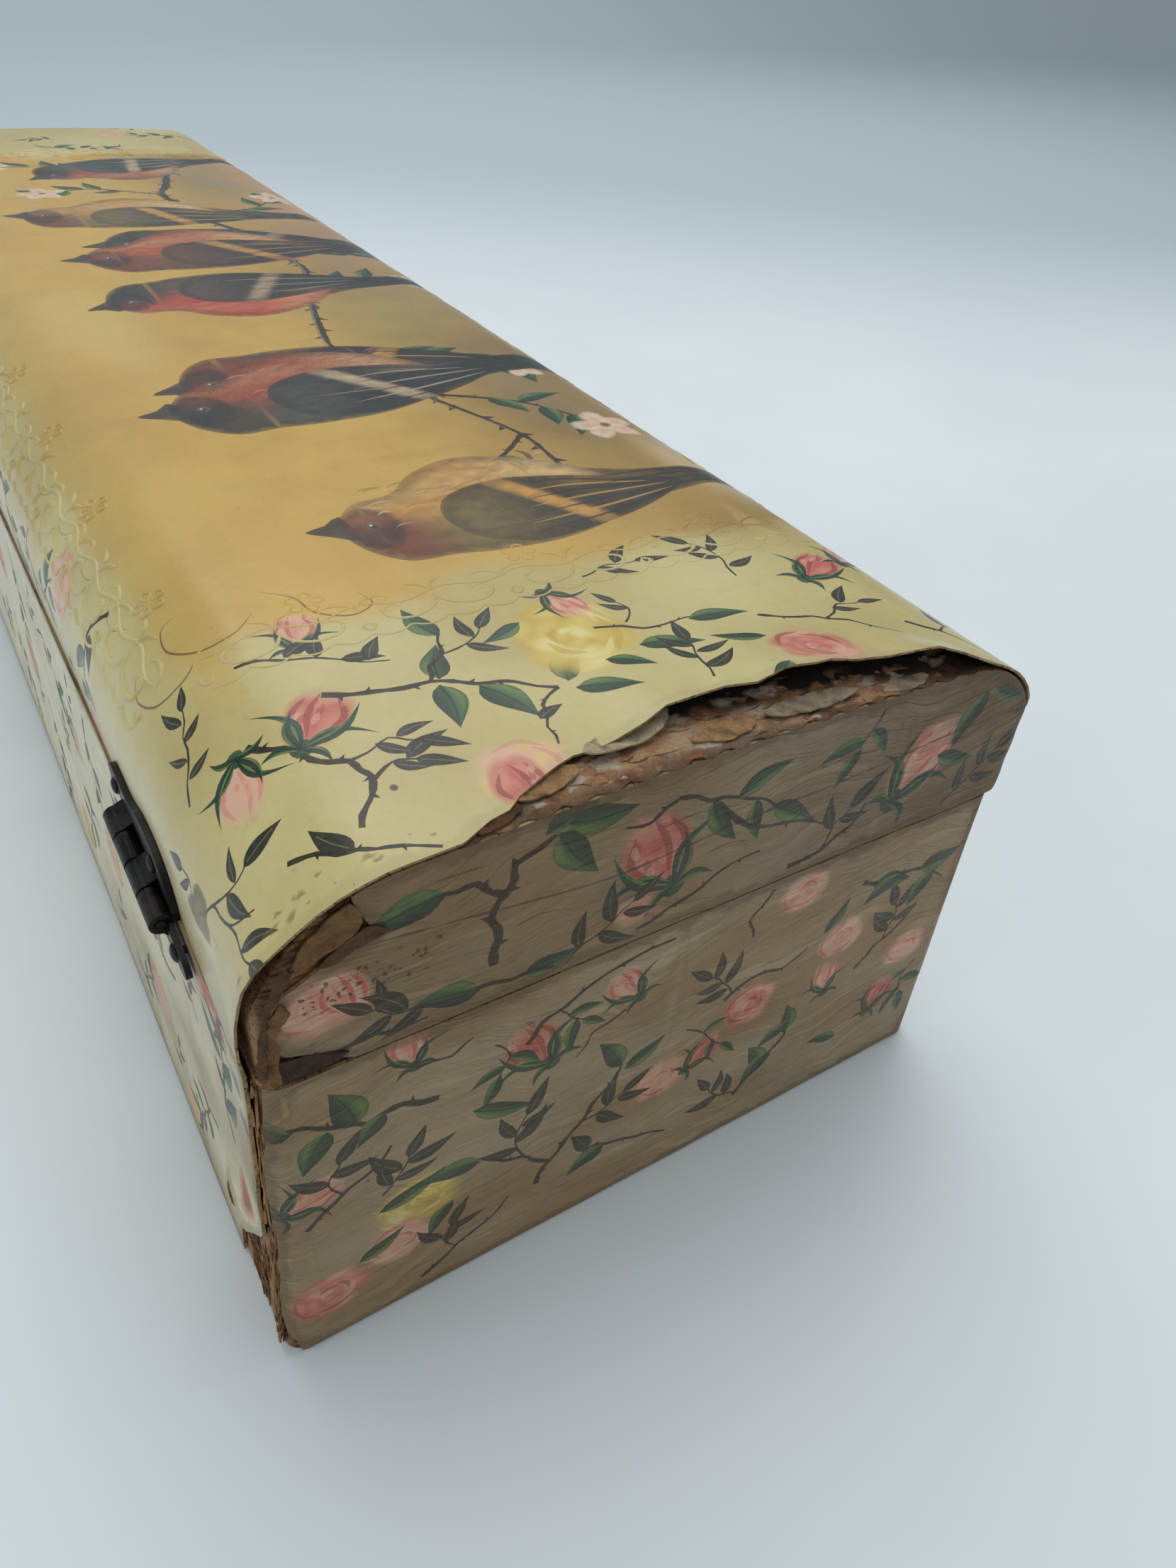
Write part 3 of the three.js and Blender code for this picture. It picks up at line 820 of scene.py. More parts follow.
def makeSheetSkin():
    # aged celluloid over wood: print on a mottled ground, with the board's grain and fine splits telegraphing through
    tree, give, take = nodeGroup("agedCelluloid", [
        ("Flat", "NodeSocketVector", None), ("Ground", "NodeSocketColor", (0.7, 0.6, 0.4, 1)),
        ("Print", "NodeSocketColor", (0, 0, 0, 1)), ("Print Strength", "NodeSocketFloat", 0.0),
        ("Edge", "NodeSocketFloat", 12.0), ("Grain", "NodeSocketFloat", 0.5), ("Splits", "NodeSocketFloat", 0.5),
        ("Dirt", "NodeSocketFloat", 0.5)],
        [("Colour", "NodeSocketColor"), ("Roughness", "NodeSocketFloat"), ("Height", "NodeSocketFloat")])
    i = give.outputs
    broad = noise(tree, i["Flat"], 0.045, 4, 0.6)
    fine = noise(tree, i["Flat"], 0.9, 4, 0.6)
    colour = mixColour(tree, ramp(tree, broad, 0.35, 0.7, 0.0, 0.16), i["Ground"], (0.35, 0.24, 0.10, 1), "MULTIPLY")
    colour = mixColour(tree, ramp(tree, fine, 0.45, 0.75, 0.0, 0.10), colour, (0.45, 0.36, 0.2, 1), "MULTIPLY")
    inkFade = mathNode(tree, "MULTIPLY", i["Print Strength"], ramp(tree, noise(tree, i["Flat"], 1.6, 3), 0.2, 0.5, 0.93, 1.0))
    colour = mixColour(tree, inkFade, colour, i["Print"])
    # long ripples along the grain, bent by slower swirls
    warp = tree.nodes.new("ShaderNodeVectorMath")
    warp.operation = "MULTIPLY_ADD"
    tree.links.new(i["Flat"], warp.inputs[0])
    warp.inputs[1].default_value = (0.045, 0.42, 1)
    bend = tree.nodes.new("ShaderNodeCombineXYZ")
    wire(tree, mathNode(tree, "MULTIPLY", noise(tree, i["Flat"], 0.035, 2), 9.0), bend.inputs[1])
    tree.links.new(bend.outputs[0], warp.inputs[2])
    ripples = noise(tree, warp.outputs[0], 1.0, 5, 0.62, 0.2)
    wave = mathNode(tree, "SUBTRACT", 1.0, mathNode(tree, "ABSOLUTE", mathNode(tree, "MULTIPLY_ADD", ripples, 2.0, -1.0)))
    crest = ramp(tree, wave, 0.72, 1.0)
    shadeAmount = mathNode(tree, "MULTIPLY", i["Grain"], mathNode(tree, "MULTIPLY", crest, 0.17))
    colour = mixColour(tree, shadeAmount, colour, (0.32, 0.22, 0.12, 1), "MULTIPLY")
    # short dark splits that follow the same grain
    flecks = noise(tree, stretched(tree, i["Flat"], (0.22, 2.6, 1)), 1.0, 2, 0.5, 0.2)
    patchy = ramp(tree, noise(tree, i["Flat"], 0.05, 2), 0.48, 0.66)
    split = mathNode(tree, "MULTIPLY", ramp(tree, flecks, 0.735, 0.765), mathNode(tree, "MULTIPLY", patchy, i["Splits"]))
    colour = mixColour(tree, mathNode(tree, "MULTIPLY", split, 0.85), colour, (0.045, 0.03, 0.02, 1))
    # brown grime that has crept in from the edges
    reach = mathNode(tree, "MULTIPLY_ADD", noise(tree, i["Flat"], 0.35, 4), 3.2, -0.9)
    creep = mathNode(tree, "MULTIPLY", ramp(tree, mathNode(tree, "SUBTRACT", i["Edge"], reach), 0.0, 1.1, 1.0, 0.0), i["Dirt"])
    colour = mixColour(tree, mathNode(tree, "MULTIPLY", creep, 0.55), colour, (0.13, 0.085, 0.045, 1))
    specks = ramp(tree, noise(tree, i["Flat"], 0.62, 1, 0.3), 0.80, 0.82)
    colour = mixColour(tree, mathNode(tree, "MULTIPLY", specks, mathNode(tree, "MULTIPLY", i["Dirt"], 0.7)), colour, (0.09, 0.05, 0.025, 1))
    rough = mathNode(tree, "ADD", ramp(tree, noise(tree, i["Flat"], 0.12, 4), 0.3, 0.7, 0.24, 0.42),
                     mathNode(tree, "MULTIPLY", mathNode(tree, "ADD", creep, i["Grain"]), 0.16))
    height = mathNode(tree, "MULTIPLY", mathNode(tree, "MULTIPLY", crest, i["Grain"]), -1.0)
    height = mathNode(tree, "ADD", height, mathNode(tree, "MULTIPLY", split, -1.2))
    height = mathNode(tree, "ADD", height, mathNode(tree, "MULTIPLY", noise(tree, i["Flat"], 0.16, 2), 0.9))
    wire(tree, colour, take.inputs["Colour"])
    wire(tree, rough, take.inputs["Roughness"])
    wire(tree, height, take.inputs["Height"])
    return tree


def makeWoodGrain():
    tree, give, take = nodeGroup("oldWood", [
        ("Place", "NodeSocketVector", None), ("Pale", "NodeSocketColor", (0.40, 0.24, 0.11, 1)),
        ("Dark", "NodeSocketColor", (0.14, 0.07, 0.028, 1)), ("Grime", "NodeSocketFloat", 0.4)],
        [("Colour", "NodeSocketColor"), ("Roughness", "NodeSocketFloat"), ("Height", "NodeSocketFloat")])
    i = give.outputs
    rings = noise(tree, stretched(tree, i["Place"], (8, 300, 300)), 1.0, 5, 0.62, 0.5)
    fibres = noise(tree, stretched(tree, i["Place"], (50, 1900, 1900)), 1.0, 3, 0.6)
    pores = ramp(tree, noise(tree, stretched(tree, i["Place"], (90, 2200, 2200)), 1.0, 1), 0.62, 0.7)
    colour = mixColour(tree, ramp(tree, rings, 0.3, 0.72), i["Pale"], i["Dark"])
    colour = mixColour(tree, ramp(tree, fibres, 0.3, 0.8, 0, 0.45), colour, i["Dark"])
    colour = mixColour(tree, mathNode(tree, "MULTIPLY", pores, 0.6), colour, (0.05, 0.025, 0.012, 1))
    stain = ramp(tree, noise(tree, i["Place"], 55.0, 5, 0.65), 0.42, 0.72)
    colour = mixColour(tree, mathNode(tree, "MULTIPLY", stain, i["Grime"]), colour, (0.045, 0.027, 0.016, 1))
    height = mathNode(tree, "SUBTRACT", mathNode(tree, "MULTIPLY", fibres, 0.7), mathNode(tree, "MULTIPLY", pores, 0.6))
    wire(tree, colour, take.inputs["Colour"])
    wire(tree, ramp(tree, fibres, 0.2, 0.8, 0.62, 0.85), take.inputs["Roughness"])
    wire(tree, height, take.inputs["Height"])
    return tree


sheetSkin, oldWood = makeSheetSkin(), makeWoodGrain()


def newMaterial(name):
    material = bpy.data.materials.new(name)
    material.use_nodes = True
    tree = material.node_tree
    tree.nodes.clear()
    out = tree.nodes.new("ShaderNodeOutputMaterial")
    shader = tree.nodes.new("ShaderNodeBsdfPrincipled")
    tree.links.new(shader.outputs[0], out.inputs[0])
    return material, tree, shader


def attribute(tree, name, output):
    node = tree.nodes.new("ShaderNodeAttribute")
    node.attribute_name = name
    return node.outputs[output]


def bumpInto(tree, shader, height, depth):
    bump = tree.nodes.new("ShaderNodeBump")
    bump.inputs["Distance"].default_value = depth
    tree.links.new(height, bump.inputs["Height"])
    tree.links.new(bump.outputs[0], shader.inputs["Normal"])


def celluloid(name, grain, splits, dirt, coat, depth, faded):
    material, tree, shader = newMaterial(name)
    group = tree.nodes.new("ShaderNodeGroup")
    group.node_tree = sheetSkin
    tree.links.new(attribute(tree, "flat", "Vector"), group.inputs["Flat"])
    tree.links.new(attribute(tree, "tone", "Color"), group.inputs["Ground"])
    tree.links.new(attribute(tree, "print", "Color"), group.inputs["Print"])
    kept = mathNode(tree, "MULTIPLY", attribute(tree, "print", "Alpha"), 1 - faded)
    tree.links.new(kept, group.inputs["Print Strength"])
    tree.links.new(attribute(tree, "edge", "Fac"), group.inputs["Edge"])
    for label, value in (("Grain", grain), ("Splits", splits), ("Dirt", dirt)):
        group.inputs[label].default_value = value
    tree.links.new(group.outputs["Colour"], shader.inputs["Base Color"])
    tree.links.new(group.outputs["Roughness"], shader.inputs["Roughness"])
    shader.inputs["IOR"].default_value = 1.5
    shader.inputs["Specular IOR Level"].default_value = 0.34
    shader.inputs["Coat Weight"].default_value = coat
    shader.inputs["Coat Roughness"].default_value = 0.22
    bumpInto(tree, shader, group.outputs["Height"], depth)
    return material


def woodMaterial(name, turn, pale, dark, grime, handled=True):
    material, tree, shader = newMaterial(name)
    where = tree.nodes.new("ShaderNodeTexCoord")
    turned90 = tree.nodes.new("ShaderNodeMapping")
    turned90.inputs["Rotation"].default_value = turn
    tree.links.new(where.outputs["Object"], turned90.inputs["Vector"])
    group = tree.nodes.new("ShaderNodeGroup")
    group.node_tree = oldWood
    tree.links.new(turned90.outputs[0], group.inputs["Place"])
    group.inputs["Pale"].default_value = rgba(pale)
    group.inputs["Dark"].default_value = rgba(dark)
    group.inputs["Grime"].default_value = grime
    # handled and crushed wood where the near end's sheets have gone
    part = tree.nodes.new("ShaderNodeSeparateXYZ")
    tree.links.new(where.outputs["Object"], part.inputs[0])
    worn = ramp(tree, part.outputs[0], -0.1628, -0.1640, 0.0, 1.0 if handled else 0.15)
    ridges = noise(tree, stretched(tree, where.outputs["Object"], (300, 420, 1500)), 1.0, 4, 0.6, 0.4)
    broken = noise(tree, where.outputs["Object"], 420, 4, 0.7)
    rough = mixColour(tree, ramp(tree, ridges, 0.35, 0.65), rgba(linear(52, 31, 14)), rgba(linear(146, 100, 50)))
    rough = mixColour(tree, ramp(tree, broken, 0.5, 0.75, 0, 0.8), rough, rgba(linear(38, 24, 14)))
    colour = mixColour(tree, worn, group.outputs["Colour"], rough)
    tree.links.new(colour, shader.inputs["Base Color"])
    tree.links.new(group.outputs["Roughness"], shader.inputs["Roughness"])
    height = mathNode(tree, "ADD", group.outputs["Height"], mathNode(tree, "MULTIPLY", worn, ridges))
    bumpInto(tree, shader, height, 0.0006)
    return material


topSkin = celluloid("waxyTopCelluloid", 0.05, 0.0, 0.25, 0.14, 0.0001, 0.0)
endSkin = celluloid("rippledEndCelluloid", 1.0, 1.0, 1.0, 0.06, 0.00024, 0.14)
sideSkin = celluloid("paleSideCelluloid", 0.6, 0.4, 0.7, 0.1, 0.00018, 0.08)
sheetEdge = woodMaterial("brownSheetEdge", (0, 0, 0), linear(196, 166, 112), linear(128, 98, 58), 0.3, False)
woodAlong = woodMaterial("woodAlongTheBox", (0, 0, 0), linear(182, 148, 106), linear(138, 102, 66), 0.3)
woodAcross = woodMaterial("woodAcrossTheBox", (0, 0, math.pi / 2), linear(178, 143, 100), linear(134, 98, 62), 0.35)
print("materials ready")


# The tones of each sheet's own ground

tones = {
    "cream": linear(214, 199, 138),
    "creamShade": linear(198, 178, 112),
    "ochre": linear(210, 168, 80),
    "ochreGlow": linear(217, 175, 82),
    "haze": linear(126, 98, 56),
    "olive": linear(164, 150, 88),
    "rosyHaze": linear(204, 158, 112),
    "endGrey": linear(168, 148, 114),
    "endTan": linear(158, 128, 88),
    "sidePale": linear(222, 212, 178),
    "stain": linear(128, 106, 60),
}
panel = {"halfLength": 126.0, "halfWidth": 44.0}


def lidTone(u, v):
    cream = mix(tones["cream"], tones["creamShade"], smooth(0.1, 0.9, 0.5 + 0.5 * ripple(u, v, 22)))
    lobe = 1.6 * np.sin(v / 4.2) + 1.2 * np.sin(v / 9.0 + 1)
    lobeSide = 1.4 * np.sin(u / 4.4) + 1.0 * np.sin(u / 10.0)
    inPanel = smooth(2.0, -3.5, np.abs(u) - panel["halfLength"] + lobe) * smooth(1.5, -3.5, np.abs(v) - panel["halfWidth"] + lobeSide)
    ground = mix(tones["ochreGlow"], tones["ochre"], smooth(0.0, 1.0, 0.5 + 0.5 * ripple(u, v, 30, 2.0)))
    ground = mix(ground, tones["haze"], smooth(4, -34, v) * (0.66 + 0.3 * ripple(u, v, 26, 4.0)))
    ground = mix(ground, tones["rosyHaze"], smooth(-14, -40, v) * smooth(-60, 40, u) * 0.7)
    ground = mix(ground, tones["olive"], 0.5 * smooth(0.15, 0.9, ripple(u, v, 24, 7.0)) * smooth(14, -24, v))
    colour = mix(cream, ground, inPanel)
    # painted shade: the picture's ground is dulled toward the back shoulder, against the light that falls brightest
    # there
    colour = mix(colour, tones["creamShade"] * 0.96, inPanel * smooth(28, 43, v) * 0.5)
    worn = smooth(60, 64, np.abs(v)) * 0.35
    colour = mix(colour, tones["sidePale"], smooth(50, 58, np.abs(v)) * 0.6)
    return mix(colour, tones["stain"], worn)


def endTone(s, z):
    colour = mix(tones["endGrey"], tones["endTan"], smooth(0.2, 0.8, 0.5 + 0.5 * ripple(s, z * 2.2, 19)))
    colour = mix(colour, tones["endTan"] * 0.8, smooth(44, 53, np.abs(s)) * 0.4)
    colour = colour * (1 - 0.14 * smooth(50, 53, z))[:, None]
    return mix(colour, linear(114, 86, 48), smooth(5, -42, s) * smooth(50, 53, z) * 0.85)


def sideToneWithPaintedLight(u, z):
    colour = mix(tones["sidePale"], tones["endGrey"], smooth(0.3, 1.0, 0.5 + 0.5 * ripple(u, z * 2.0, 23)))
    # painted light: the back and front sheets turn paler from the near end toward the far end
    colour = mix(colour, linear(240, 232, 204), smooth(-130, -60, u) * 0.75)
    return mix(colour, tones["endTan"] * 0.8, smooth(7, 0, z) * 0.45)


# The picture on the lid: six small songbirds on a blossom branch, and the pressed border round it

coats = {
    "rust": {"back": linear(96, 66, 44), "cap": linear(122, 50, 34), "breast": linear(178, 86, 52),
             "belly": linear(206, 168, 116), "wing": linear(50, 42, 38), "bar": linear(204, 156, 74)},
    "rosy": {"back": linear(84, 70, 62), "cap": linear(44, 40, 40), "breast": linear(184, 66, 50),
             "belly": linear(204, 136, 98), "wing": linear(42, 40, 42), "bar": linear(178, 162, 132)},
    "olive": {"back": linear(120, 108, 60), "cap": linear(118, 58, 38), "breast": linear(192, 150, 78),
              "belly": linear(214, 188, 132), "wing": linear(64, 56, 42), "bar": linear(214, 168, 80)},
    "slate": {"back": linear(66, 70, 70), "cap": linear(52, 44, 40), "breast": linear(158, 76, 50),
              "belly": linear(194, 152, 112), "wing": linear(36, 38, 40), "bar": linear(196, 182, 150)},
}
birdShape = {
    "body": [(0.30, -0.03), (0.34, 0.08), (0.44, 0.16), (0.57, 0.205), (0.69, 0.185), (0.78, 0.135), (0.87, 0.13),
             (0.935, 0.075), (0.935, 0.0), (0.885, -0.06), (0.80, -0.075), (0.72, -0.095), (0.58, -0.11),
             (0.43, -0.09)],
    "tail": [(0.0, -0.055), (0.01, 0.005), (0.10, 0.02), (0.24, 0.045), (0.38, 0.08), (0.42, -0.06), (0.26, -0.055),
             (0.12, -0.05)],
    "wing": [(0.74, 0.02), (0.69, 0.085), (0.56, 0.105), (0.42, 0.075), (0.28, 0.025), (0.17, -0.02), (0.28, -0.065),
             (0.44, -0.095), (0.60, -0.10), (0.71, -0.06)],
    "beak": [(0.925, 0.03), (0.965, 0.055), (1.0, 0.085), (0.955, 0.09), (0.915, 0.105)],
    "mask": [(0.94, 0.02), (0.93, 0.09), (0.87, 0.115), (0.82, 0.08), (0.83, 0.02), (0.88, -0.02)],
}


def closedCurve(points, step):
    pts = [np.array(p, float) for p in points]
    out = []
    for i in range(len(pts)):
        a, b, c, d = pts[i - 1], pts[i], pts[(i + 1) % len(pts)], pts[(i + 2) % len(pts)]
        count = max(2, int(np.linalg.norm(c - b) / step + 0.5))
        for k in range(count):
            t = k / count
            out.append(0.5 * (2 * b + (c - a) * t + (2 * a - 5 * b + 4 * c - d) * t * t
                              + (3 * b - a - 3 * c + d) * t ** 3))
    return np.array(out)


def grainOf(outline, pitch):
    low, high = outline.min(0), outline.max(0)
    grid = []
    for j, b in enumerate(np.arange(low[1], high[1], pitch * 0.87)):
        grid += [(a, b) for a in np.arange(low[0] + (j % 2) * pitch / 2, high[0], pitch)]
    grid = np.array(grid)
    grid = grid[inside(grid, outline)]
    return grid[edgeDistance(grid, outline) > 0.4]


def bird(u, v, angle, length, side, coat, seed):
    # u, v is where its feet hold; angle runs from tail to head; side 1 has the breast on the left of that line
    rng = random.Random(seed)
    ink = coats[coat]
    turn = math.radians(angle)
    girth = 1.36
    foot = np.array([0.47, 0.17 * side * girth]) * length
    at = np.array([u, v]) - turned([foot], turn, (0, 0))[0]

    def put(points):
        return turned(np.array(points, float) * (length, length * side * girth), turn, at)

    def own(pu, pv):
        a, b = localOf(pu, pv, turn, at)
        return a / length, b * side / length / girth

    def part(name, colourOf, pitch, edgeStrength=0.6, strength=0.97):
        outline = closedCurve(put(birdShape[name]), 1.2)

        def paint(pu, pv):
            a, b = own(pu, pv)
            deep = edgeDistance(np.stack([pu, pv], 1), outline)
            rgb = colourOf(a, b) * (0.5 + 0.5 * smooth(0, 3.4, deep))[:, None] * np.array([1.0, 0.86, 0.76])
            grain = 1 + 0.26 * ripple(a * length * 0.9, b * length * 3.4, 1.15, seed) + 0.12 * ripple(
                a * length * 3, b * length * 4, 1.3, seed + 3.0)
            return rgb * grain[:, None], edgeStrength + (strength - edgeStrength) * smooth(0.05, 0.8, deep)
        inner = grainOf(outline, pitch)
        return [{"outline": outline, "paint": paint, "guides": [p[None, :] for p in inner]}]

    def bodyColour(a, b):
        rgb = mix(ink["back"], ink["breast"], smooth(-0.02, 0.07, b))
        rgb = mix(rgb, ink["belly"], smooth(0.60, 0.42, a) * smooth(-0.02, 0.1, b))
        rgb = mix(rgb, ink["belly"], 0.4 * smooth(0.05, 0.0, np.abs(b - 0.13)) * smooth(0.5, 0.62, a))
        return mix(rgb, ink["cap"], smooth(0.74, 0.84, a) * smooth(0.09, 0.03, b))

    def wingColour(a, b):
        rgb = mix(ink["wing"], ink["back"], smooth(0.5, 0.72, a))
        rgb = mix(rgb, ink["bar"], 0.85 * smooth(0.035, 0.015, np.abs(a - 0.5 - 0.6 * b)))
        return mix(rgb, ink["bar"], 0.5 * smooth(0.03, 0.0, np.abs(b - 0.06 + 0.1 * (0.5 - a))) * smooth(0.5, 0.3, a))

    marks = []
    for shift in (-0.015, 0.02):
        leg = put([(0.46 + shift * 2, 0.12), (0.45 + shift * 2.6, 0.165), (0.47 + shift * 3, 0.19)])
        marks += stroke(leg, 0.9, linear(96, 66, 56), 0.9)
    marks += part("tail", lambda a, b: mix(ink["wing"], ink["back"], smooth(0.1, 0.4, a)), 1.8)
    marks += part("body", bodyColour, 1.55)
    marks += part("beak", lambda a, b: mix(linear(70, 58, 52), linear(120, 104, 86), smooth(0.07, 0.04, b)), 1.2, 0.9)
    marks += part("mask", lambda a, b: mix(ink["cap"], ink["wing"], smooth(0.08, 0.03, b)), 1.2, 0.25, 0.75)
    for i in range(26):
        a, b = rng.uniform(0.38, 0.86), rng.uniform(0.03, 0.165)
        reach = rng.uniform(0.03, 0.07)
        tone = ink["belly"] * rng.uniform(0.7, 1.2) if rng.random() < 0.5 else ink["breast"] * rng.uniform(0.45, 0.8)
        marks += stroke(put([(a, b), (a - reach / 2, b + 0.006), (a - reach, b)]), 0.5, tone, 0.55)
    marks += part("wing", wingColour, 1.6, 0.8)
    for i in range(7):
        lift = -0.075 + 0.024 * i
        line = [(0.62 - 0.02 * i, lift), (0.42, lift * 0.9 - 0.004), (0.20 + 0.015 * abs(i - 2), -0.02 + lift * 0.35)]
        marks += stroke(put(line), 0.55, ink["bar"] * 0.8 if i % 2 else ink["wing"] * 0.4, 0.75)
    for i in range(4):
        line = [(0.36, -0.035 + 0.026 * i), (0.2, -0.03 + 0.02 * i), (0.02, -0.042 + 0.013 * i)]
        marks += stroke(put(line), 0.5, ink["wing"] * 0.4, 0.8)
    eye = put([(0.875, 0.055)])[0]
    marks += softBlob(*eye, (1.15, 1.0), 0, petalPaint(linear(14, 10, 8), linear(120, 96, 70), 0.95, 0.8, 0.3), 0, 1, 10, (0.7,))
    marks += softBlob(eye[0] + 0.25, eye[1] + 0.3, (0.28, 0.25), 0, petalPaint(linear(240, 236, 220), linear(240, 236, 220)),
                      0, 1, 6, ())
    return marks


def blossom(u, v, size, seed):
    rng = random.Random(seed)
    marks = []
    for i in range(5):
        turn = i * 72 + rng.uniform(-10, 10)
        at = (u + size * 0.3 * math.cos(math.radians(turn)), v + size * 0.3 * math.sin(math.radians(turn)))
        marks += softBlob(*at, (size * 0.27, size * 0.2), turn,
                          petalPaint(linear(226, 176, 150), linear(240, 222, 190), 0.9, 0.35, 0.4), 0.1, seed + i, 12, (0.5,))
    return marks + softBlob(u, v, (size * 0.09, size * 0.09), 0, petalPaint(linear(150, 84, 40), linear(120, 70, 40)), 0, 1, 8, ())


def picturePrint():
    marks = []
    for u, v, radii, turn, tone, strength in (
            (-70, -30, (44, 11), 4, (150, 132, 96), 0.42), (18, -32, (56, 12), -3, (158, 128, 98), 0.45),
            (92, -26, (34, 13), 6, (146, 134, 98), 0.42), (-20, 26, (40, 12), 5, (226, 206, 140), 0.35),
            (-104, -38, (20, 6), 0, (226, 200, 160), 0.6), (60, -40, (30, 5), 3, (214, 172, 136), 0.5)):
        marks += softBlob(u, v, radii, turn, petalPaint(linear(*tone), linear(*tone), strength, 0.0, 0.9), 0.12, 5, 30,
                          (0.85, 0.7, 0.55, 0.4, 0.2))
    bough = [(118, -24), (98, -17), (76, -10), (52, -12), (30, -19), (6, -20), (-20, -12), (-44, -7), (-68, -12),
             (-88, -19), (-106, -18)]
    marks += twig(bough, 2.6, 0.35, True, 401)
    marks += stroke([(p[0], p[1] + 0.5) for p in bough], 0.7, linear(150, 124, 96), 0.6)
    shoots = (
        [(-44, -7), (-52, -22), (-60, -34)], [(-10, -15), (-2, -30), (-4, -40)], [(52, -12), (60, -27), (72, -36)],
        [(98, -17), (104, -4), (112, 10), (114, 22)], [(22, -20), (16, -32), (22, -40)],
        [(-88, -19), (-98, -8), (-108, 0)], [(-68, -12), (-76, -26), (-88, -34)], [(76, -10), (84, 4), (82, 16)])
    for i, line in enumerate(shoots):
        marks += twig(line, 1.3, 0.4, True, 410 + i)
        path = smoothPath(line, 1.0)
        rng = random.Random(430 + i)
        for share in (0.35, 0.5, 0.66, 0.8, 0.95):
            k = int(share * (len(path) - 1))
            turn = math.degrees(math.atan2(*(path[k] - path[k - 1])[::-1])) + rng.choice([-50, 50, 40, -35])
            marks += leaf(*path[k], turn, rng.uniform(7, 10), rng.uniform(3, 4), "green", 0.15)
        marks += blossom(*path[-1], rng.uniform(8, 10.5), 450 + i)
    figures = (
        (-95, -12, 96, 65, -1, "olive", 501), (-70, -9, 78, 71, 1, "rust", 502), (-45, -5, 103, 72, -1, "slate", 503),
        (-20, -9, 86, 67, 1, "rosy", 504), (12, -15, 71, 71, 1, "rosy", 505), (39, -12, 101, 72, -1, "rust", 506),
        (70, -8, 88, 67, -1, "olive", 507), (98, -17, 104, 61, 1, "slate", 508))
    for figure in figures:
        marks += bird(*figure)
    return marks


def brownLine(points, width=0.32, strength=0.75):
    return stroke(points, width, linear(92, 60, 34), strength)


def borderInk():
    # a few of the pressed lines near the hinge still carry a brown outline
    marks = []
    petals = [(-117 + 4.6 * (1 + 0.24 * math.sin(5 * t)) * math.cos(t), 35 + 4.2 * (1 + 0.24 * math.sin(5 * t)) * math.sin(t))
              for t in np.linspace(0, 2 * math.pi, 34)]
    marks += brownLine(petals, 0.36)
    marks += brownLine([(-121, 33), (-124, 36), (-124.4, 40), (-121, 43), (-117, 42.6), (-116, 40.6)])
    marks += brownLine([(-117, 31), (-120, 28), (-124, 27), (-126.4, 23.6), (-125, 20.6), (-122, 21.2)])
    marks += brownLine([(-124.4, 40), (-127, 43), (-126.6, 47), (-122.6, 49), (-119, 47.4)])
    for k in range(7):
        u = -112 + k * 13
        marks += brownLine([(u, 45.4), (u + 3, 47.6), (u + 6.4, 47.4), (u + 8, 45.2)], 0.22, 0.4)
    return marks


def pressedCurves():
    # scrolls, petals and a wavy rib in turn along each side of the picture
    curves = []
    sides = (((-126, 41), (0, -1), (-1, 0), 82), ((126, -41), (0, 1), (1, 0), 82),
             ((-124, 46.5), (1, 0), (0, 1), 248), ((124, -46.5), (-1, 0), (0, -1), 248))
    for start, along, out, length in sides:
        faint = 0.45 if out[0] < 0 or out[1] < 0 else 1.0
        first = len(curves)
        start, along, out = np.array(start), np.array(along), np.array(out)

        def at(points, t0):
            return [start + along * (t0 + t) + out * h for t, h in points]
        count = round(length / 9.0)
        for i in range(count):
            t0 = (i + 0.5) * length / count
            flip = 1 if i % 2 else -1
            scroll = [(-4.8, 0.2), (-3.4, 2.6), (-0.8, 3.7), (1.6, 2.9), (2.1, 1.1), (0.7, 0.3), (-0.2, 1.3)]
            curves.append((at([(flip * t, h) for t, h in scroll], t0), 0.75, 0.26))
            curves.append((at([(flip * 5.0, 0.1), (flip * 3.6, -1.7), (flip * 1.4, -2.2), (flip * 0.3, -1.2)], t0), 0.6, 0.22))
            curves.append((at([(flip * -4.6, -0.6), (flip * -3.8, -2.4), (flip * -2.0, -3.2)], t0), 0.7, 0.3))
            curves.append((at([(flip * 3.6, 3.4), (flip * 4.4, 4.2), (flip * 5.2, 3.2), (flip * 4.2, 2.6)], t0), 0.7, 0.3))
            if i % 3 == 1:
                for k in range(5):
                    turn = 2 * math.pi * k / 5
                    petal = [(0.5 * math.cos(turn), -4.4 + 0.5 * math.sin(turn)),
                             (1.7 * math.cos(turn - 0.42), -4.4 + 1.7 * math.sin(turn - 0.42)),
                             (2.2 * math.cos(turn), -4.4 + 2.2 * math.sin(turn)),
                             (1.7 * math.cos(turn + 0.42), -4.4 + 1.7 * math.sin(turn + 0.42)),
                             (0.5 * math.cos(turn), -4.4 + 0.5 * math.sin(turn))]
                    curves.append((at(petal, t0), 0.5, 0.2))
        rib = [(t, -0.5 + 0.7 * math.sin(t * 2 * math.pi / 10.5)) for t in np.arange(0, length, 2.0)]
        curves.append((at(rib, 0), 0.55, 0.2))
        lace = [(t, 5.0 + 0.9 * abs(math.sin(t * math.pi / 4.5))) for t in np.arange(0, length, 0.9)]
        curves.append((at(lace, 0), 0.5, 0.2))
        curves[first:] = [(points, width * (0.5 + 0.5 * faint), height * faint) for points, width, height in curves[first:]]
    return curves


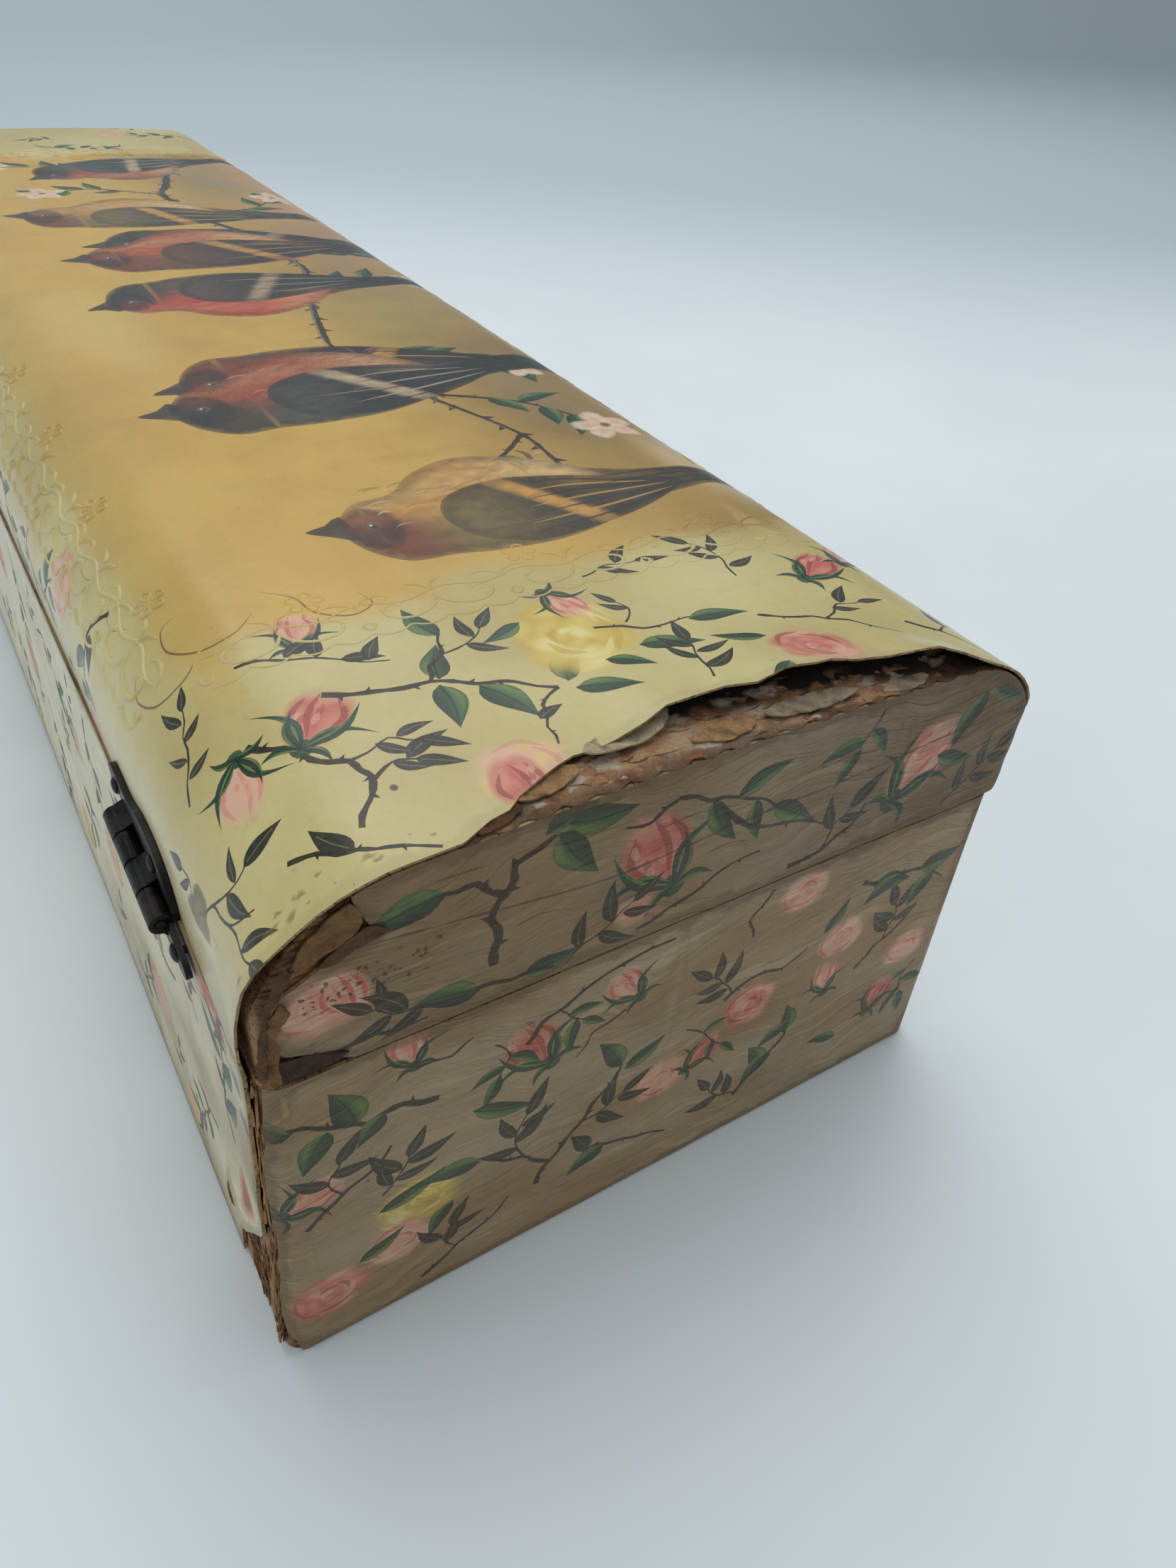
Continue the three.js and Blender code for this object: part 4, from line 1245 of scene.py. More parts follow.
def pressedBorder(curves, place, lift, tone, material, body, name):
    # round-backed ribs lying on the sheet, each closed underneath
    across = np.array([-1.0, -0.55, 0.0, 0.55, 1.0])
    rise = np.array([-0.04, 0.62, 1.0, 0.62, -0.04])
    flats, heights, faces = [], [], []
    total = 0
    for points, width, height in curves:
        path = smoothPath(points, 0.7)
        side = normalsOf(path)
        taper = np.minimum(1, np.minimum(np.arange(len(path)), np.arange(len(path))[::-1]) / 2.5 + 0.15)
        for k in range(len(path)):
            for a, r in zip(across, rise):
                flats.append(path[k] + side[k] * a * width / 2 * (0.4 + 0.6 * taper[k]))
                heights.append(height * r * taper[k] if r > 0 else r)
        for k in range(len(path) - 1):
            base = total + k * 5
            for j in range(4):
                faces.append((base + j, base + j + 5, base + j + 6, base + j + 1))
            faces.append((base + 4, base + 9, base + 5, base))
        faces.append((total, total + 1, total + 2, total + 3, total + 4))
        last = total + (len(path) - 1) * 5
        faces.append((last + 4, last + 3, last + 2, last + 1, last))
        total += len(path) * 5
    flats, heights = np.array(flats), np.array(heights)
    u, v = flats[:, 0], flats[:, 1]
    points = place(u, v, lift(u, v) + heights) * mm
    mesh = bpy.data.meshes.new(name)
    mesh.from_pydata(points, [], faces)
    tones = np.ones((len(flats), 4), np.float32)
    tones[:, :3] = tone(u, v)
    mesh.color_attributes.new("tone", "FLOAT_COLOR", "POINT").data.foreach_set("color", tones.reshape(-1))
    spots = np.zeros((len(flats), 3), np.float32)
    spots[:, :2] = flats
    mesh.attributes.new("flat", "FLOAT_VECTOR", "POINT").data.foreach_set("vector", spots.reshape(-1))
    mesh.attributes.new("edge", "FLOAT", "POINT").data.foreach_set("value", np.full(len(flats), 12, np.float32))
    mesh.color_attributes.new("print", "FLOAT_COLOR", "POINT").data.foreach_set(
        "color", np.zeros(len(flats) * 4, np.float32))
    mesh.materials.append(material)
    normals = np.zeros(len(mesh.polygons) * 3, np.float32)
    mesh.polygons.foreach_get("normal", normals)
    if normals.reshape(-1, 3)[1::5, 2].mean() < 0:
        mesh.flip_normals()
    mesh.shade_smooth()
    mesh.set_sharp_from_angle(angle=1.25)
    piece = bpy.data.objects.new(name, mesh)
    bpy.context.scene.collection.objects.link(piece)
    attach(piece, body)
    print(f"{name}: {len(faces)} faces")


# The lid's top sheet

halfLength, corner = boxShape["halfLength"], boxShape["cornerRadius"]
lidEdge = lidFlatHalf()
lidFlat = boxShape["lidHalf"] - boxShape["shoulder"]
arcLength = boxShape["shoulder"] * math.pi / 2


def lidReach(v):
    # how far along the box the sheet goes before it turns in at the rounded corner
    s = abs(v)
    y = min(s, lidFlat) + boxShape["shoulder"] * math.sin(min(max(s - lidFlat, 0) / boxShape["shoulder"], math.pi / 2))
    over = y - (boxShape["lidHalf"] - corner)
    return halfLength - corner + math.sqrt(max(corner ** 2 - max(over, 0) ** 2, 0))


tornEdge = [(-165.2, -38), (-164.5, -31.5), (-163.4, -28.8), (-163.1, -26.6), (-161.9, -22.9), (-161.3, -20.4),
            (-160.8, -17.6), (-160.6, -13.2), (-159.9, -9.8), (-160.0, -6.2), (-159.1, -2.9), (-159.2, 0.4),
            (-158.7, 4.0), (-159.4, 7.1), (-159.7, 10.4), (-160.0, 13.0), (-159.8, 15.3), (-160.4, 17.4),
            (-161.6, 20.7), (-162.2, 22.3), (-163.3, 23.9), (-163.6, 26.0), (-164.9, 29.0)]
tear = {"reach": 21.0, "height": 3.1, "cornerHeight": 1.2, "cornerReach": 12.0}


def tornAt(v):
    vs, us = [p[1] for p in tornEdge], [p[0] for p in tornEdge]
    return np.interp(v, vs, us, left=-halfLength, right=-halfLength)


def lidLift(u, v):
    # the torn edge curls up, most where the bite is deepest, and the sheet stands away at the worn shoulder
    away = np.clip((u - tornAt(v)) / tear["reach"], 0, 1)
    bite = smooth(-41, -27, v) * (0.22 + 0.78 * smooth(13, -5, v)) * smooth(28, 14, v)
    curl = tear["height"] * (1 - away) ** 2.2 * bite * (1 + 0.16 * np.sin(v / 2.7) + 0.03 * np.sin(v / 0.9))
    shoulder = smooth(38, 52, v) * (1 - np.clip((u + halfLength) / tear["cornerReach"], 0, 1)) ** 2
    stand = tear["cornerHeight"] * shoulder * (1 + 0.3 * np.sin(v / 1.9))
    wander = 0.05 * ripple(u, v, 17, 9.0) * smooth(-165, -150, u)
    return curl + stand + wander


def lidOutline():
    far = [(lidReach(v), v) for v in np.linspace(-lidEdge, lidEdge, 61)]
    near = [(-lidReach(v), v) for v in np.linspace(lidEdge, 29.5, 17)]
    near += [(u, v) for u, v in reversed(tornEdge)]
    near += [(-lidReach(v), v) for v in np.linspace(-39, -lidEdge, 13)]
    return far + near


nearBandPrint = []


def lay(marks):
    nearBandPrint.extend(marks)


# the near band's print, from the hinge's side to the front
lay(twig([(-142, 41), (-145, 38), (-148, 36.5), (-150, 33.5), (-153, 32.6), (-156, 34), (-159, 36)], 1.1, 0.7, True, 3))
lay(sprig([(-153.5, 32.5), (-152, 29.5), (-153, 27.5)], 3, 4.4, "dark", 5, 0.6))
lay(sprig([(-150, 33.8), (-148.5, 29), (-150.5, 26)], 3, 4.2, "dark", 6, 0.5))
lay(bud(-146.5, 37, -38, 10.5, "red", 11))
lay(bud(-142, 42.3, 165, 9.0, "pale", 12))
lay(sprig([(-142, 49), (-138, 47), (-134, 46), (-130, 44.5)], 5, 3.6, "dark", 13))
lay(twig([(-150, 55.5), (-153, 52), (-157, 51), (-159, 47.5)], 0.6, 0.5, False, 14))
lay(sprig([(-153, 52), (-154.5, 49), (-154, 46)], 3, 4.2, "dark", 15))
lay(sprig([(-157, 51), (-161, 50.5), (-164, 49.5)], 2, 4.4, "dark", 16))
lay(sprig([(-150, 55.5), (-147, 54), (-144, 54.5)], 2, 4.0, "dark", 44))
lay(twig([(-158, 43), (-160.5, 39), (-162, 36), (-164.5, 31)], 0.8, 0.6, True, 17))
lay(leaf(-161, 37.5, 28, 5.5, 2.4, "dark"))
lay(twig([(-139, 32), (-141, 27), (-142, 21.5), (-144.6, 17.5), (-146, 14), (-149, 10.5)], 1.1, 0.6, True, 18))
lay(leaf(-142, 20.5, -22, 6.5, 3.2, "green"))
lay(leaf(-143, 21, 170, 7.6, 3.4, "green"))
lay(leaf(-145, 17.5, 200, 8.2, 3.8, "green"))
lay(twig([(-142, 21.5), (-139.5, 20.5), (-137.5, 18), (-134, 16.8)], 0.7, 0.6, True, 19))
lay(leaf(-134.5, 17, 12, 7.0, 3.0, "green"))
lay(sprig([(-138, 18.5), (-137, 14.5), (-134.5, 12)], 3, 3.8, "dark", 20))
lay(twig([(-149, 10.5), (-151, 13.5), (-154.5, 15), (-157.5, 15.5)], 0.7, 0.4, True, 21))
lay(leaf(-148.5, 9, -30, 7.6, 3.4, "green"))
lay(leaf(-150, 9, -120, 7.0, 3.0, "green"))
lay(leaf(-153, 15, -70, 3.6, 1.6, "dark"))
lay(bud(-130.5, 31.5, -18, 8.0, "pink", 22))
lay(twig([(-130, 38), (-131.5, 33), (-134, 28), (-136.5, 23.5)], 0.7, 0.4, False, 23))
for at, turn in (((-131, 33), -62), ((-132.5, 30), -20), ((-134, 28), -110), ((-135.5, 25.5), -35)):
    lay(leaf(*at, turn, 4.8, 1.9, "dark"))
lay(rose(-159.5, 20, 11, "peach", 20, 24))
lay(bud(-156, 21, 175, 8.5, "red", 25, False))
lay(rose(-141.0, 4.0, 17, "yellow", 0, 26))
lay(leaf(-136, 8, 110, 6, 2.2, "green"))
lay(leaf(-147, 3.5, 230, 5.6, 2.4, "green"))
lay(leaf(-146, -1.5, 250, 7.6, 3.2, "green"))
lay(twig([(-140.5, 1), (-143, -4), (-143, -10), (-144.5, -14)], 0.7, 0.4, True, 27))
lay(leaf(-143.5, -10, -100, 7.8, 2.8, "green"))
lay(sprig([(-141, -3), (-138.5, -5), (-136, -4)], 2, 3.8, "dark", 28))
lay(sprig([(-156.5, -3.5), (-152.5, -5), (-149, -6.5), (-147, -7)], 5, 4.4, "dark", 29))
lay(rose(-156, -18, 11.5, "red", 40, 30))
lay(leaf(-151, -15, 60, 6.4, 2.2, "green"))
lay(leaf(-158.5, -11.5, 120, 5.2, 2.0, "green"))
lay(twig([(-146, -18), (-149, -24), (-151.5, -27), (-157, -30.5)], 0.8, 0.4, True, 31))
lay(sprig([(-150, -25), (-147.5, -29), (-148, -33)], 3, 4.0, "dark", 32))
lay(twig([(-154, -34), (-157, -37), (-163, -41)], 0.8, 0.5, True, 33))
lay(sprig([(-157, -37), (-155, -42)], 2, 4.2, "dark", 34))
lay(bud(-141, -29.5, -60, 9.5, "red", 35))
lay(bud(-139, -38, -40, 8.0, "pink", 36))
lay(bud(-131, 2.5, 200, 7.5, "pink", 37))
lay(sprig([(-137, -22), (-133, -23), (-129, -22.5), (-127, -21)], 5, 4.4, "dark", 38))
lay(sprig([(-130, -4), (-128.5, -8), (-129, -13)], 3, 5.0, "dark", 39))
lay(twig([(-143, -44), (-146, -46), (-151, -43), (-156, -47)], 0.8, 0.4, True, 40))
lay(leaf(-146, -46, -60, 5, 2.2, "green"))
lay(spray(-152, -52, 12, 18, "pink", 42))
scuffs = random.Random(51)
for i in range(40):
    at = (scuffs.uniform(-164.8, -161.2), scuffs.choice([scuffs.uniform(-64, -37), scuffs.uniform(30, 64)]))
    size = scuffs.uniform(0.2, 0.9)
    lay(softBlob(*at, (size * 0.6, size), scuffs.uniform(-30, 30),
                 petalPaint(linear(112, 80, 44), linear(150, 120, 70), 0.6, 0.1, 0.6), 0.4, i, 8, (0.5,)))
lay(softBlob(-150.4, 55.0, (3.2, 2.2), 4, petalPaint(linear(118, 100, 54), linear(96, 80, 42), 0.9, 0.6, 0.15), 0.3, 6))
lay(softBlob(-155.5, 31.5, (0.5, 0.4), 0, petalPaint(inks["twig"], inks["twig"], 0.9, 0.8), 0, 1, 8, ()))

lidPrint = picturePrint() + borderInk() + nearBandPrint + strewn((128, 163), (-44, 44), 26, 71)
lidPrint += strewn((-124, 160), (51, lidEdge - 1), 17, 72) + strewn((-160, 160), (-lidEdge + 1, -51), 27, 73)

foldLines = []
for share in np.linspace(0, 1, 13):
    for side in (-1, 1):
        foldLines.append([(-157, side * (lidFlat + share * arcLength)), (161, side * (lidFlat + share * arcLength))])
dots = [(u, v) for u in np.arange(-156, 163, 4.0) for v in np.arange(-32, 33, 4.0)]
dots += [(u, v) for u in np.arange(-163.5, -146, 1.2) for v in np.arange(-40, 60, 1.6)]
dots = [d for d in dots if d[0] > float(tornAt(d[1])) + 0.7]
curlDots = [(u, v) for u in np.arange(-163, -140, 2.2) for v in np.arange(-41.3, 60, 1.7)]
printedSheet("lid_top_sheet_printed", "lid", lidOutline(), lidPrint, lidTopPlace, lidTone,
             [topSkin, sheetEdge], foldLines, dots, lidLift, thickness=0.28, replaces="lid_top_sheet",
             underDots=curlDots)
pressedBorder(pressedCurves(), lidTopPlace, lidLift, lidTone, topSkin, "lid", "lid_pressed_border")


# The end sheets, the back and the front

wrap = corner * math.pi / 4
baseFoot, baseTop = boxShape["coverFoot"], boxShape["baseTop"]


def baseReach(z):
    return float(baseHalfAt(z)) - corner + wrap


def lidSection(startV, endV, count):
    # along the lid's section, inside the top sheet
    out = []
    for v in np.linspace(startV, endV, count):
        x, y, z = lidTopPlace(np.array([0.0]), np.array([v]), np.array([-0.62]))[0]
        out.append((y - boxShape["lidMiddle"], z))
    return out


lidLow = boxShape["lidBottom"]
wornShoulder = [(40.4, lidLow), (41.6, 52.0), (43.2, 52.9), (44.6, 54.4), (46.9, 55.3), (48.0, 56.6), (47.7, 58.4),
                (47.9, 60.2), (47.2, 61.8), (46.6, 63.0), (45.2, 63.7), (43.6, 64.5), (42.1, 65.4), (40.4, 65.8), (38.4, 66.2),
                (37.5, 66.6), (38.1, 68.0), (39.2, 70.6), (39.4, 71.3)]
nearLidEnd = lidSection(39.8, -lidEdge, 60) + [(s, lidLow) for s in np.linspace(-48.4, 38, 30)] + wornShoulder
farLidEnd = lidSection(lidEdge, -lidEdge, 80) + [(s, lidLow) for s in np.linspace(-48.4, 48.4, 30)]
wornCorner = [(49.4, 0.5), (49.9, 3.1), (50.8, 4.8), (51.2, 8.9), (50.9, 13.8), (50.4, 16.9), (50.5, 19.8), (50.0, 22.5),
              (49.8, 28.2), (50.2, 31.0), (50.2, 34.2), (49.9, 39.2), (49.2, 42.0), (49.0, 45.7), (48.5, 51.0)]
nearBaseEnd = wornCorner + [(s, baseTop) for s in np.linspace(46, -46, 24)]
nearBaseEnd += [(-baseReach(z), z) for z in np.linspace(baseTop, baseFoot, 22)]
nearBaseEnd += [(s, baseFoot) for s in np.linspace(-47, 47, 24)]
farBaseEnd = [(baseReach(z), z) for z in np.linspace(baseFoot, baseTop, 22)]
farBaseEnd += [(s, baseTop) for s in np.linspace(46, -46, 24)]
farBaseEnd += [(-baseReach(z), z) for z in np.linspace(baseTop, baseFoot, 22)]
farBaseEnd += [(s, baseFoot) for s in np.linspace(-47, 47, 24)]


def crack(points, width, seed, colour=(52, 36, 24), strength=0.85):
    # a fine split in the sheet, of uneven width
    rng = random.Random(seed)
    path = smoothPath([(a + rng.uniform(-0.25, 0.25), b + rng.uniform(-0.25, 0.25)) for a, b in points], 1.2)
    halves = np.array([width / 2 * rng.uniform(0.25, 1.3) for i in range(len(path))])
    halves[0] = halves[-1] = 0.03
    return [{"outline": ribbonOutline(path, halves), "paint": plainPaint(linear(*colour), strength, 0.3)}]


def lidEndPrint():
    marks = softBlob(8, 61.5, (6.5, 5.5), 30, petalPaint(inks["smudge"], inks["smudge"], 0.55, 0.0, 0.8), 0.2, 4)
    marks += twig([(26, 56.5), (25.5, 60), (26.4, 63), (24.6, 66), (24, 69), (19, 71.5)], 1.5, 0.6, True, 101)
    marks += twig([(24.8, 65.6), (28, 68.4), (32, 68.6), (36, 66.6)], 1.1, 0.7, True, 102)
    for s, z, turn, size in ((21, 71.5, 150, 7.5), (19.5, 71, 235, 8.5), (18.5, 71.8, 185, 8), (31, 68.6, -15, 8.5)):
        marks += leaf(s, z, turn, size, size * 0.46, "green")
    marks += bud(4.5, 57.0, 65, 13.5, "red", 103)
    marks += softBlob(9.8, 56.2, (3.4, 2.6), 10, petalPaint(inks["pink"], inks["blush"], 0.8, 0.0, 0.6), 0.1, 7)
    marks += sprig([(6, 70), (2, 68.2), (-4, 66.2), (-8, 63.6)], 4, 6.4, "green", 104, 0.8)
    marks += twig([(6, 69.8), (9, 68.0), (12, 68.6)], 0.9, 0.5, True, 105)
    marks += twig([(0, 66.5), (-5, 62), (-10, 60.6), (-16, 58)], 1.1, 0.4, True, 106)
    marks += sprig([(-21, 72.4), (-20, 70), (-18.5, 67.2)], 3, 5.6, "green", 107, 0.5)
    marks += bud(-26.5, 56.5, 125, 13.5, "pink", 108)
    marks += leaf(-33, 62, 200, 8, 2.6, "green")
    marks += twig([(-12, 53), (-17, 53.6), (-21, 55.6), (-22.4, 58.6)], 1.0, 0.5, True, 109)
    marks += sprig([(-16.8, 53.6), (-18, 57), (-20.5, 59.4)], 3, 5.0, "dark", 110, 0.5)
    marks += sprig([(-37, 52.4), (-39.6, 54.8), (-42.6, 57.6), (-45, 59.6)], 5, 5.2, "dark", 111)
    marks += leaf(-38.6, 69.5, -65, 8.5, 3.4, "green")
    marks += leaf(-40, 69.5, 205, 6.5, 2.6, "green")
    marks += twig([(9, 53), (5, 54.2), (-1, 56.6), (-7, 57.6)], 0.9, 0.4, True, 112)
    marks += sprig([(17.6, 52.2), (15.5, 54.2), (12.2, 55.6), (9.2, 58)], 5, 5.0, "dark", 113)
    marks += leaf(27.5, 53.6, 12, 7.6, 3.6, "green")
    marks += leaf(22.5, 53.2, 172, 6.6, 3.0, "green")
    marks += twig([(28, 54), (24, 53.2), (19, 52.6)], 0.8, 0.8, False, 114)
    marks += rose(44, 60.5, 10, "pink", 40, 115)
    marks += bud(39.6, 56.5, 70, 8, "pink", 116, False)
    marks += sprig([(31, 53.6), (33.4, 55), (36.6, 55.4), (39, 57.2)], 5, 5.0, "dark", 117)
    marks += twig([(44, 52.6), (39, 53.6), (33, 52.8)], 0.7, 0.6, True, 118)
    rng = random.Random(119)
    for i in range(46):
        at = (rng.gauss(39.5, 3.4), rng.gauss(61.4, 1.7))
        size = rng.uniform(0.16, 0.42)
        marks += softBlob(*at, (size, size * 0.6), rng.uniform(0, 180),
                          petalPaint(linear(44, 30, 20), linear(60, 42, 28), 0.85, 0.7, 0.3), 0.3, i, 7, ())
    for i in range(34):
        s, z = rng.uniform(-48.6, -34), rng.uniform(60, 73.4)
        if s > -42 and z < 69:
            continue
        size = rng.uniform(0.25, 1.1)
        marks += softBlob(s, z, (size, size * 0.6), rng.uniform(-30, 40),
                          petalPaint(linear(86, 58, 32), linear(122, 90, 54), 0.7, 0.2, 0.5), 0.4, i, 8, (0.5,))
    for i in range(40):
        s, z = rng.uniform(-50.6, -46.8), rng.uniform(51.6, 70)
        size = rng.uniform(0.3, 1.2)
        marks += softBlob(s, z, (size * 0.6, size), rng.uniform(-30, 30),
                          petalPaint(linear(82, 54, 30), linear(120, 88, 50), 0.8, 0.2, 0.5), 0.4, i, 8, (0.5,))
    # the board joint under the sheet has split it from end to end
    marks += crack([(45, 66.4), (38, 65.6), (30, 64.3), (22, 63.2), (13, 62.5), (4, 62.7), (-6, 63.4), (-15, 63.8),
                    (-24, 64.2), (-33, 64.6), (-42, 64.8), (-48, 64.6)], 0.36, 120, strength=0.7)
    for start, length, seed in (((24, 60.6), 6, 1), ((13, 58.3), 8, 2), ((2, 60.2), 7, 3), ((-13, 66.8), 9, 4),
                                ((-27, 67.9), 8, 5), ((34, 70.2), 7, 6), ((8, 66.8), 9, 7), ((-34, 55), 8, 8)):
        s, z = start
        marks += crack([(s, z), (s - length * 0.5, z + 0.4), (s - length, z - 0.3)], 0.26, 121 + seed, strength=0.6)
    return marks


def baseEndPrint():
    marks = twig([(31, 39), (35, 40.6), (39, 40), (43, 42.2), (48, 44.6)], 1.3, 0.6, True, 201)
    for s, z, turn, size in ((40, 40.5, 70, 7.5), (43, 41.6, -62, 6.5), (46.6, 43.6, 12, 6), (37, 40.4, -50, 5)):
        marks += leaf(s, z, turn, size, size * 0.55, "green")
    marks += bud(33.5, 45.6, 80, 7.0, "pink", 202)
    marks += twig([(33.5, 45.6), (29.5, 45), (27, 46.6)], 0.7, 0.5, False, 203)
    marks += bud(17.0, 35.6, 60, 10.5, "red", 204)
    marks += twig([(20.6, 41.2), (18.8, 44), (14, 46.4), (9, 48), (2, 48.6)], 0.9, 0.6, True, 205)
    marks += sprig([(17, 45), (15, 42.5), (13, 41)], 3, 4.6, "green", 206)
    marks += sprig([(24.5, 43.6), (22.6, 40.6), (24, 37)], 3, 4.8, "green", 207)
    marks += bud(5.6, 40.5, 55, 8.0, "pink", 208)
    marks += leaf(27, 33.6, 205, 9, 2.8, "green")
    marks += twig([(7.6, 39.6), (12, 38), (14, 34.6)], 0.6, 0.5, False, 209)
    marks += rose(0.4, 21.6, 9.5, "pink", 20, 210)
    marks += bud(-3.2, 20.5, 140, 7.5, "red", 211)
    marks += rose(-12.6, 28.6, 9.5, "red", 60, 212)
    marks += twig([(-8, 32), (-12, 34.2), (-17, 33.2), (-21, 35.2)], 0.9, 0.5, True, 213)
    marks += sprig([(-9, 33), (-7, 36), (-4.4, 38.4)], 5, 4.6, "dark", 214)
    marks += rose(-27, 34, 8.5, "pink", 0, 215)
    marks += leaf(-23.4, 36.6, 120, 6, 2.2, "green")
    marks += rose(33.6, 21.0, 11.5, "yellow", 20, 216)
    marks += leaf(38.6, 22.4, 160, 9, 2.6, "green")
    marks += rose(36.4, 14.4, 9.5, "pink", 80, 217)
    marks += leaf(29.6, 17.6, -60, 6.6, 2.4, "green")
    marks += rose(45.2, 10.4, 10.5, "red", 10, 218)
    marks += leaf(41.4, 14, 150, 6.6, 2.6, "green")
    marks += bud(49.4, 29.5, 155, 8.5, "pink", 219)
    marks += twig([(18, 11.4), (17.2, 14.6), (14, 18.4), (10.6, 23.4), (7, 28.4)], 1.2, 0.5, True, 220)
    marks += twig([(16.6, 15.6), (20, 19.2), (24.4, 22)], 0.9, 0.6, True, 221)
    marks += sprig([(20, 19.2), (21.4, 23.6), (19.6, 28.4)], 5, 5.4, "dark", 222)
    marks += sprig([(12.4, 20.8), (9, 21), (5.6, 23)], 4, 5.0, "dark", 223)
    marks += leaf(26, 22.8, 8, 7.6, 3.4, "green")
    marks += leaf(7, 28.6, 60, 7.6, 3.2, "green")
    marks += leaf(6.4, 27.6, 150, 6.6, 2.8, "green")
    marks += twig([(11.4, 13.6), (7.6, 12.4), (3, 10.4), (-2.4, 8)], 1.0, 0.4, True, 224)
    marks += leaf(8, 12.6, -30, 6.4, 3.4, "green")
    marks += leaf(10.6, 13.4, 60, 5.6, 2.6, "dark")
    marks += twig([(-14, 8), (-18, 12.4), (-21.4, 17), (-22, 22.6)], 1.0, 0.5, True, 225)
    for s, z, turn, size in ((-18, 12.6, 60, 6.5), (-19.4, 15, -50, 7), (-21.4, 17.6, 80, 6.6), (-21.6, 20, -30, 6)):
        marks += leaf(s, z, turn, size, size * 0.5, "green")
    marks += sprig([(-14.4, 8.6), (-11, 10), (-8.6, 13.4)], 4, 4.4, "dark", 226)
    marks += twig([(-32, 25), (-34.6, 28.4), (-38, 30.4), (-41, 34)], 1.0, 0.5, True, 227)
    marks += sprig([(-36, 29.4), (-37, 33), (-36, 36.4)], 5, 4.8, "dark", 228)
    marks += bud(-27, 22.6, 80, 7.5, "pink", 229)
    marks += twig([(46.6, 25.8), (43.2, 28.6), (39.8, 30.8), (36.6, 34.4)], 0.9, 0.5, True, 230)
    marks += sprig([(42.2, 29.4), (43.6, 33), (42, 36)], 3, 4.2, "dark", 231)
    marks += twig([(34, 3.2), (30, 5.8), (26.4, 8), (22, 12)], 1.0, 0.4, True, 232)
    marks += sprig([(29, 6.4), (31, 10), (29.6, 13)], 4, 4.4, "dark", 233)
    marks += sprig([(38, 25.6), (36, 28.2), (34.4, 31.4)], 5, 5.0, "dark", 234)
    marks += twig([(-28, 43.6), (-33, 42), (-38.6, 41.4), (-44.6, 37.4)], 1.1, 0.5, True, 235)
    for s, z, turn, size in ((-31, 42.8, 200, 7), (-35, 42, -30, 6.4), (-39, 41.2, 170, 7.4), (-42, 39.8, -60, 6.6)):
        marks += leaf(s, z, turn, size, size * 0.5, "green")
    marks += rose(-42, 24.5, 8.5, "pink", 30, 236)
    marks += sprig([(-46, 20), (-44, 17), (-45, 12.6)], 4, 5.0, "green", 237)
    marks += bud(-38, 11.8, 110, 8.5, "red", 238)
    marks += leaf(-33, 9.6, 20, 6.6, 2.4, "green")
    marks += sprig([(-2.6, 29.6), (-6, 26.6), (-9.6, 22.4)], 3, 4.8, "green", 239)
    marks += rose(-17.4, 47.0, 8.0, "pink", 0, 240)
    marks += twig([(-12, 49.8), (-9, 46), (-10.4, 42.4)], 0.8, 0.5, True, 241)
    # the floor board's joint shows through as a crease, with its own small splits
    crease = [(s, 6.0 + 0.35 * math.sin(s / 5.0)) for s in range(50, -52, -6)]
    marks += crack(crease, 0.34, 242, (120, 96, 70), 0.5)
    rng = random.Random(243)
    for i in range(26):
        s, z = rng.uniform(-46, 46), rng.choice([rng.uniform(1.5, 12), rng.uniform(2, 48)])
        length = rng.uniform(3, 8)
        marks += crack([(s, z), (s - length * 0.5, z + rng.uniform(-0.4, 0.4)), (s - length, z)], 0.2, 300 + i,
                       strength=rng.uniform(0.35, 0.65))
    return marks


def endDots(outline, pitch=2.6):
    outline = np.asarray(outline)
    low, high = outline.min(0), outline.max(0)
    grid = np.array([(a, b) for a in np.arange(low[0] + 1, high[0], pitch) for b in np.arange(low[1] + 1, high[1], pitch)])
    return grid[inside(grid, outline) & (edgeDistance(grid, outline) > 0.7)]


def uneven(amount, seed):
    # old sheet on shrunken boards: shallow waves along the grain
    def lift(u, v):
        return amount * (ripple(u * 0.6, v * 2.4, 6.0, seed) + 0.5 * ripple(u * 0.5, v * 3.2, 2.6, seed + 2)) - amount
    return lift


endLines = [[(side * (46.3 + k * 0.75), 0), (side * (46.3 + k * 0.75), 75)] for side in (-1, 1) for k in range(6)]
printedSheet("lid_near_end_printed", "lid", nearLidEnd, lidEndPrint(), lidEndPlace(-1), endTone,
             [endSkin, sheetEdge], endLines, endDots(nearLidEnd), uneven(0.07, 3), replaces="lid_near_end_cover")
printedSheet("base_near_end_printed", "base", nearBaseEnd, baseEndPrint(), baseEndPlace(-1), endTone,
             [endSkin, sheetEdge], endLines, endDots(nearBaseEnd), uneven(0.07, 5), replaces="base_near_end_cover")
printedSheet("lid_far_end_printed", "lid", farLidEnd, strewn((-44, 44), (54, 72), 15, 81),
             lidEndPlace(1), endTone, [sideSkin, sheetEdge], endLines, endDots(farLidEnd, 4.0), uneven(0.05, 6),
             replaces="lid_far_end_cover")
printedSheet("base_far_end_printed", "base", farBaseEnd, strewn((-46, 46), (4, 48), 22, 82),
             baseEndPlace(1), endTone, [sideSkin, sheetEdge], endLines, endDots(farBaseEnd, 4.0), uneven(0.05, 7),
             replaces="base_far_end_cover")

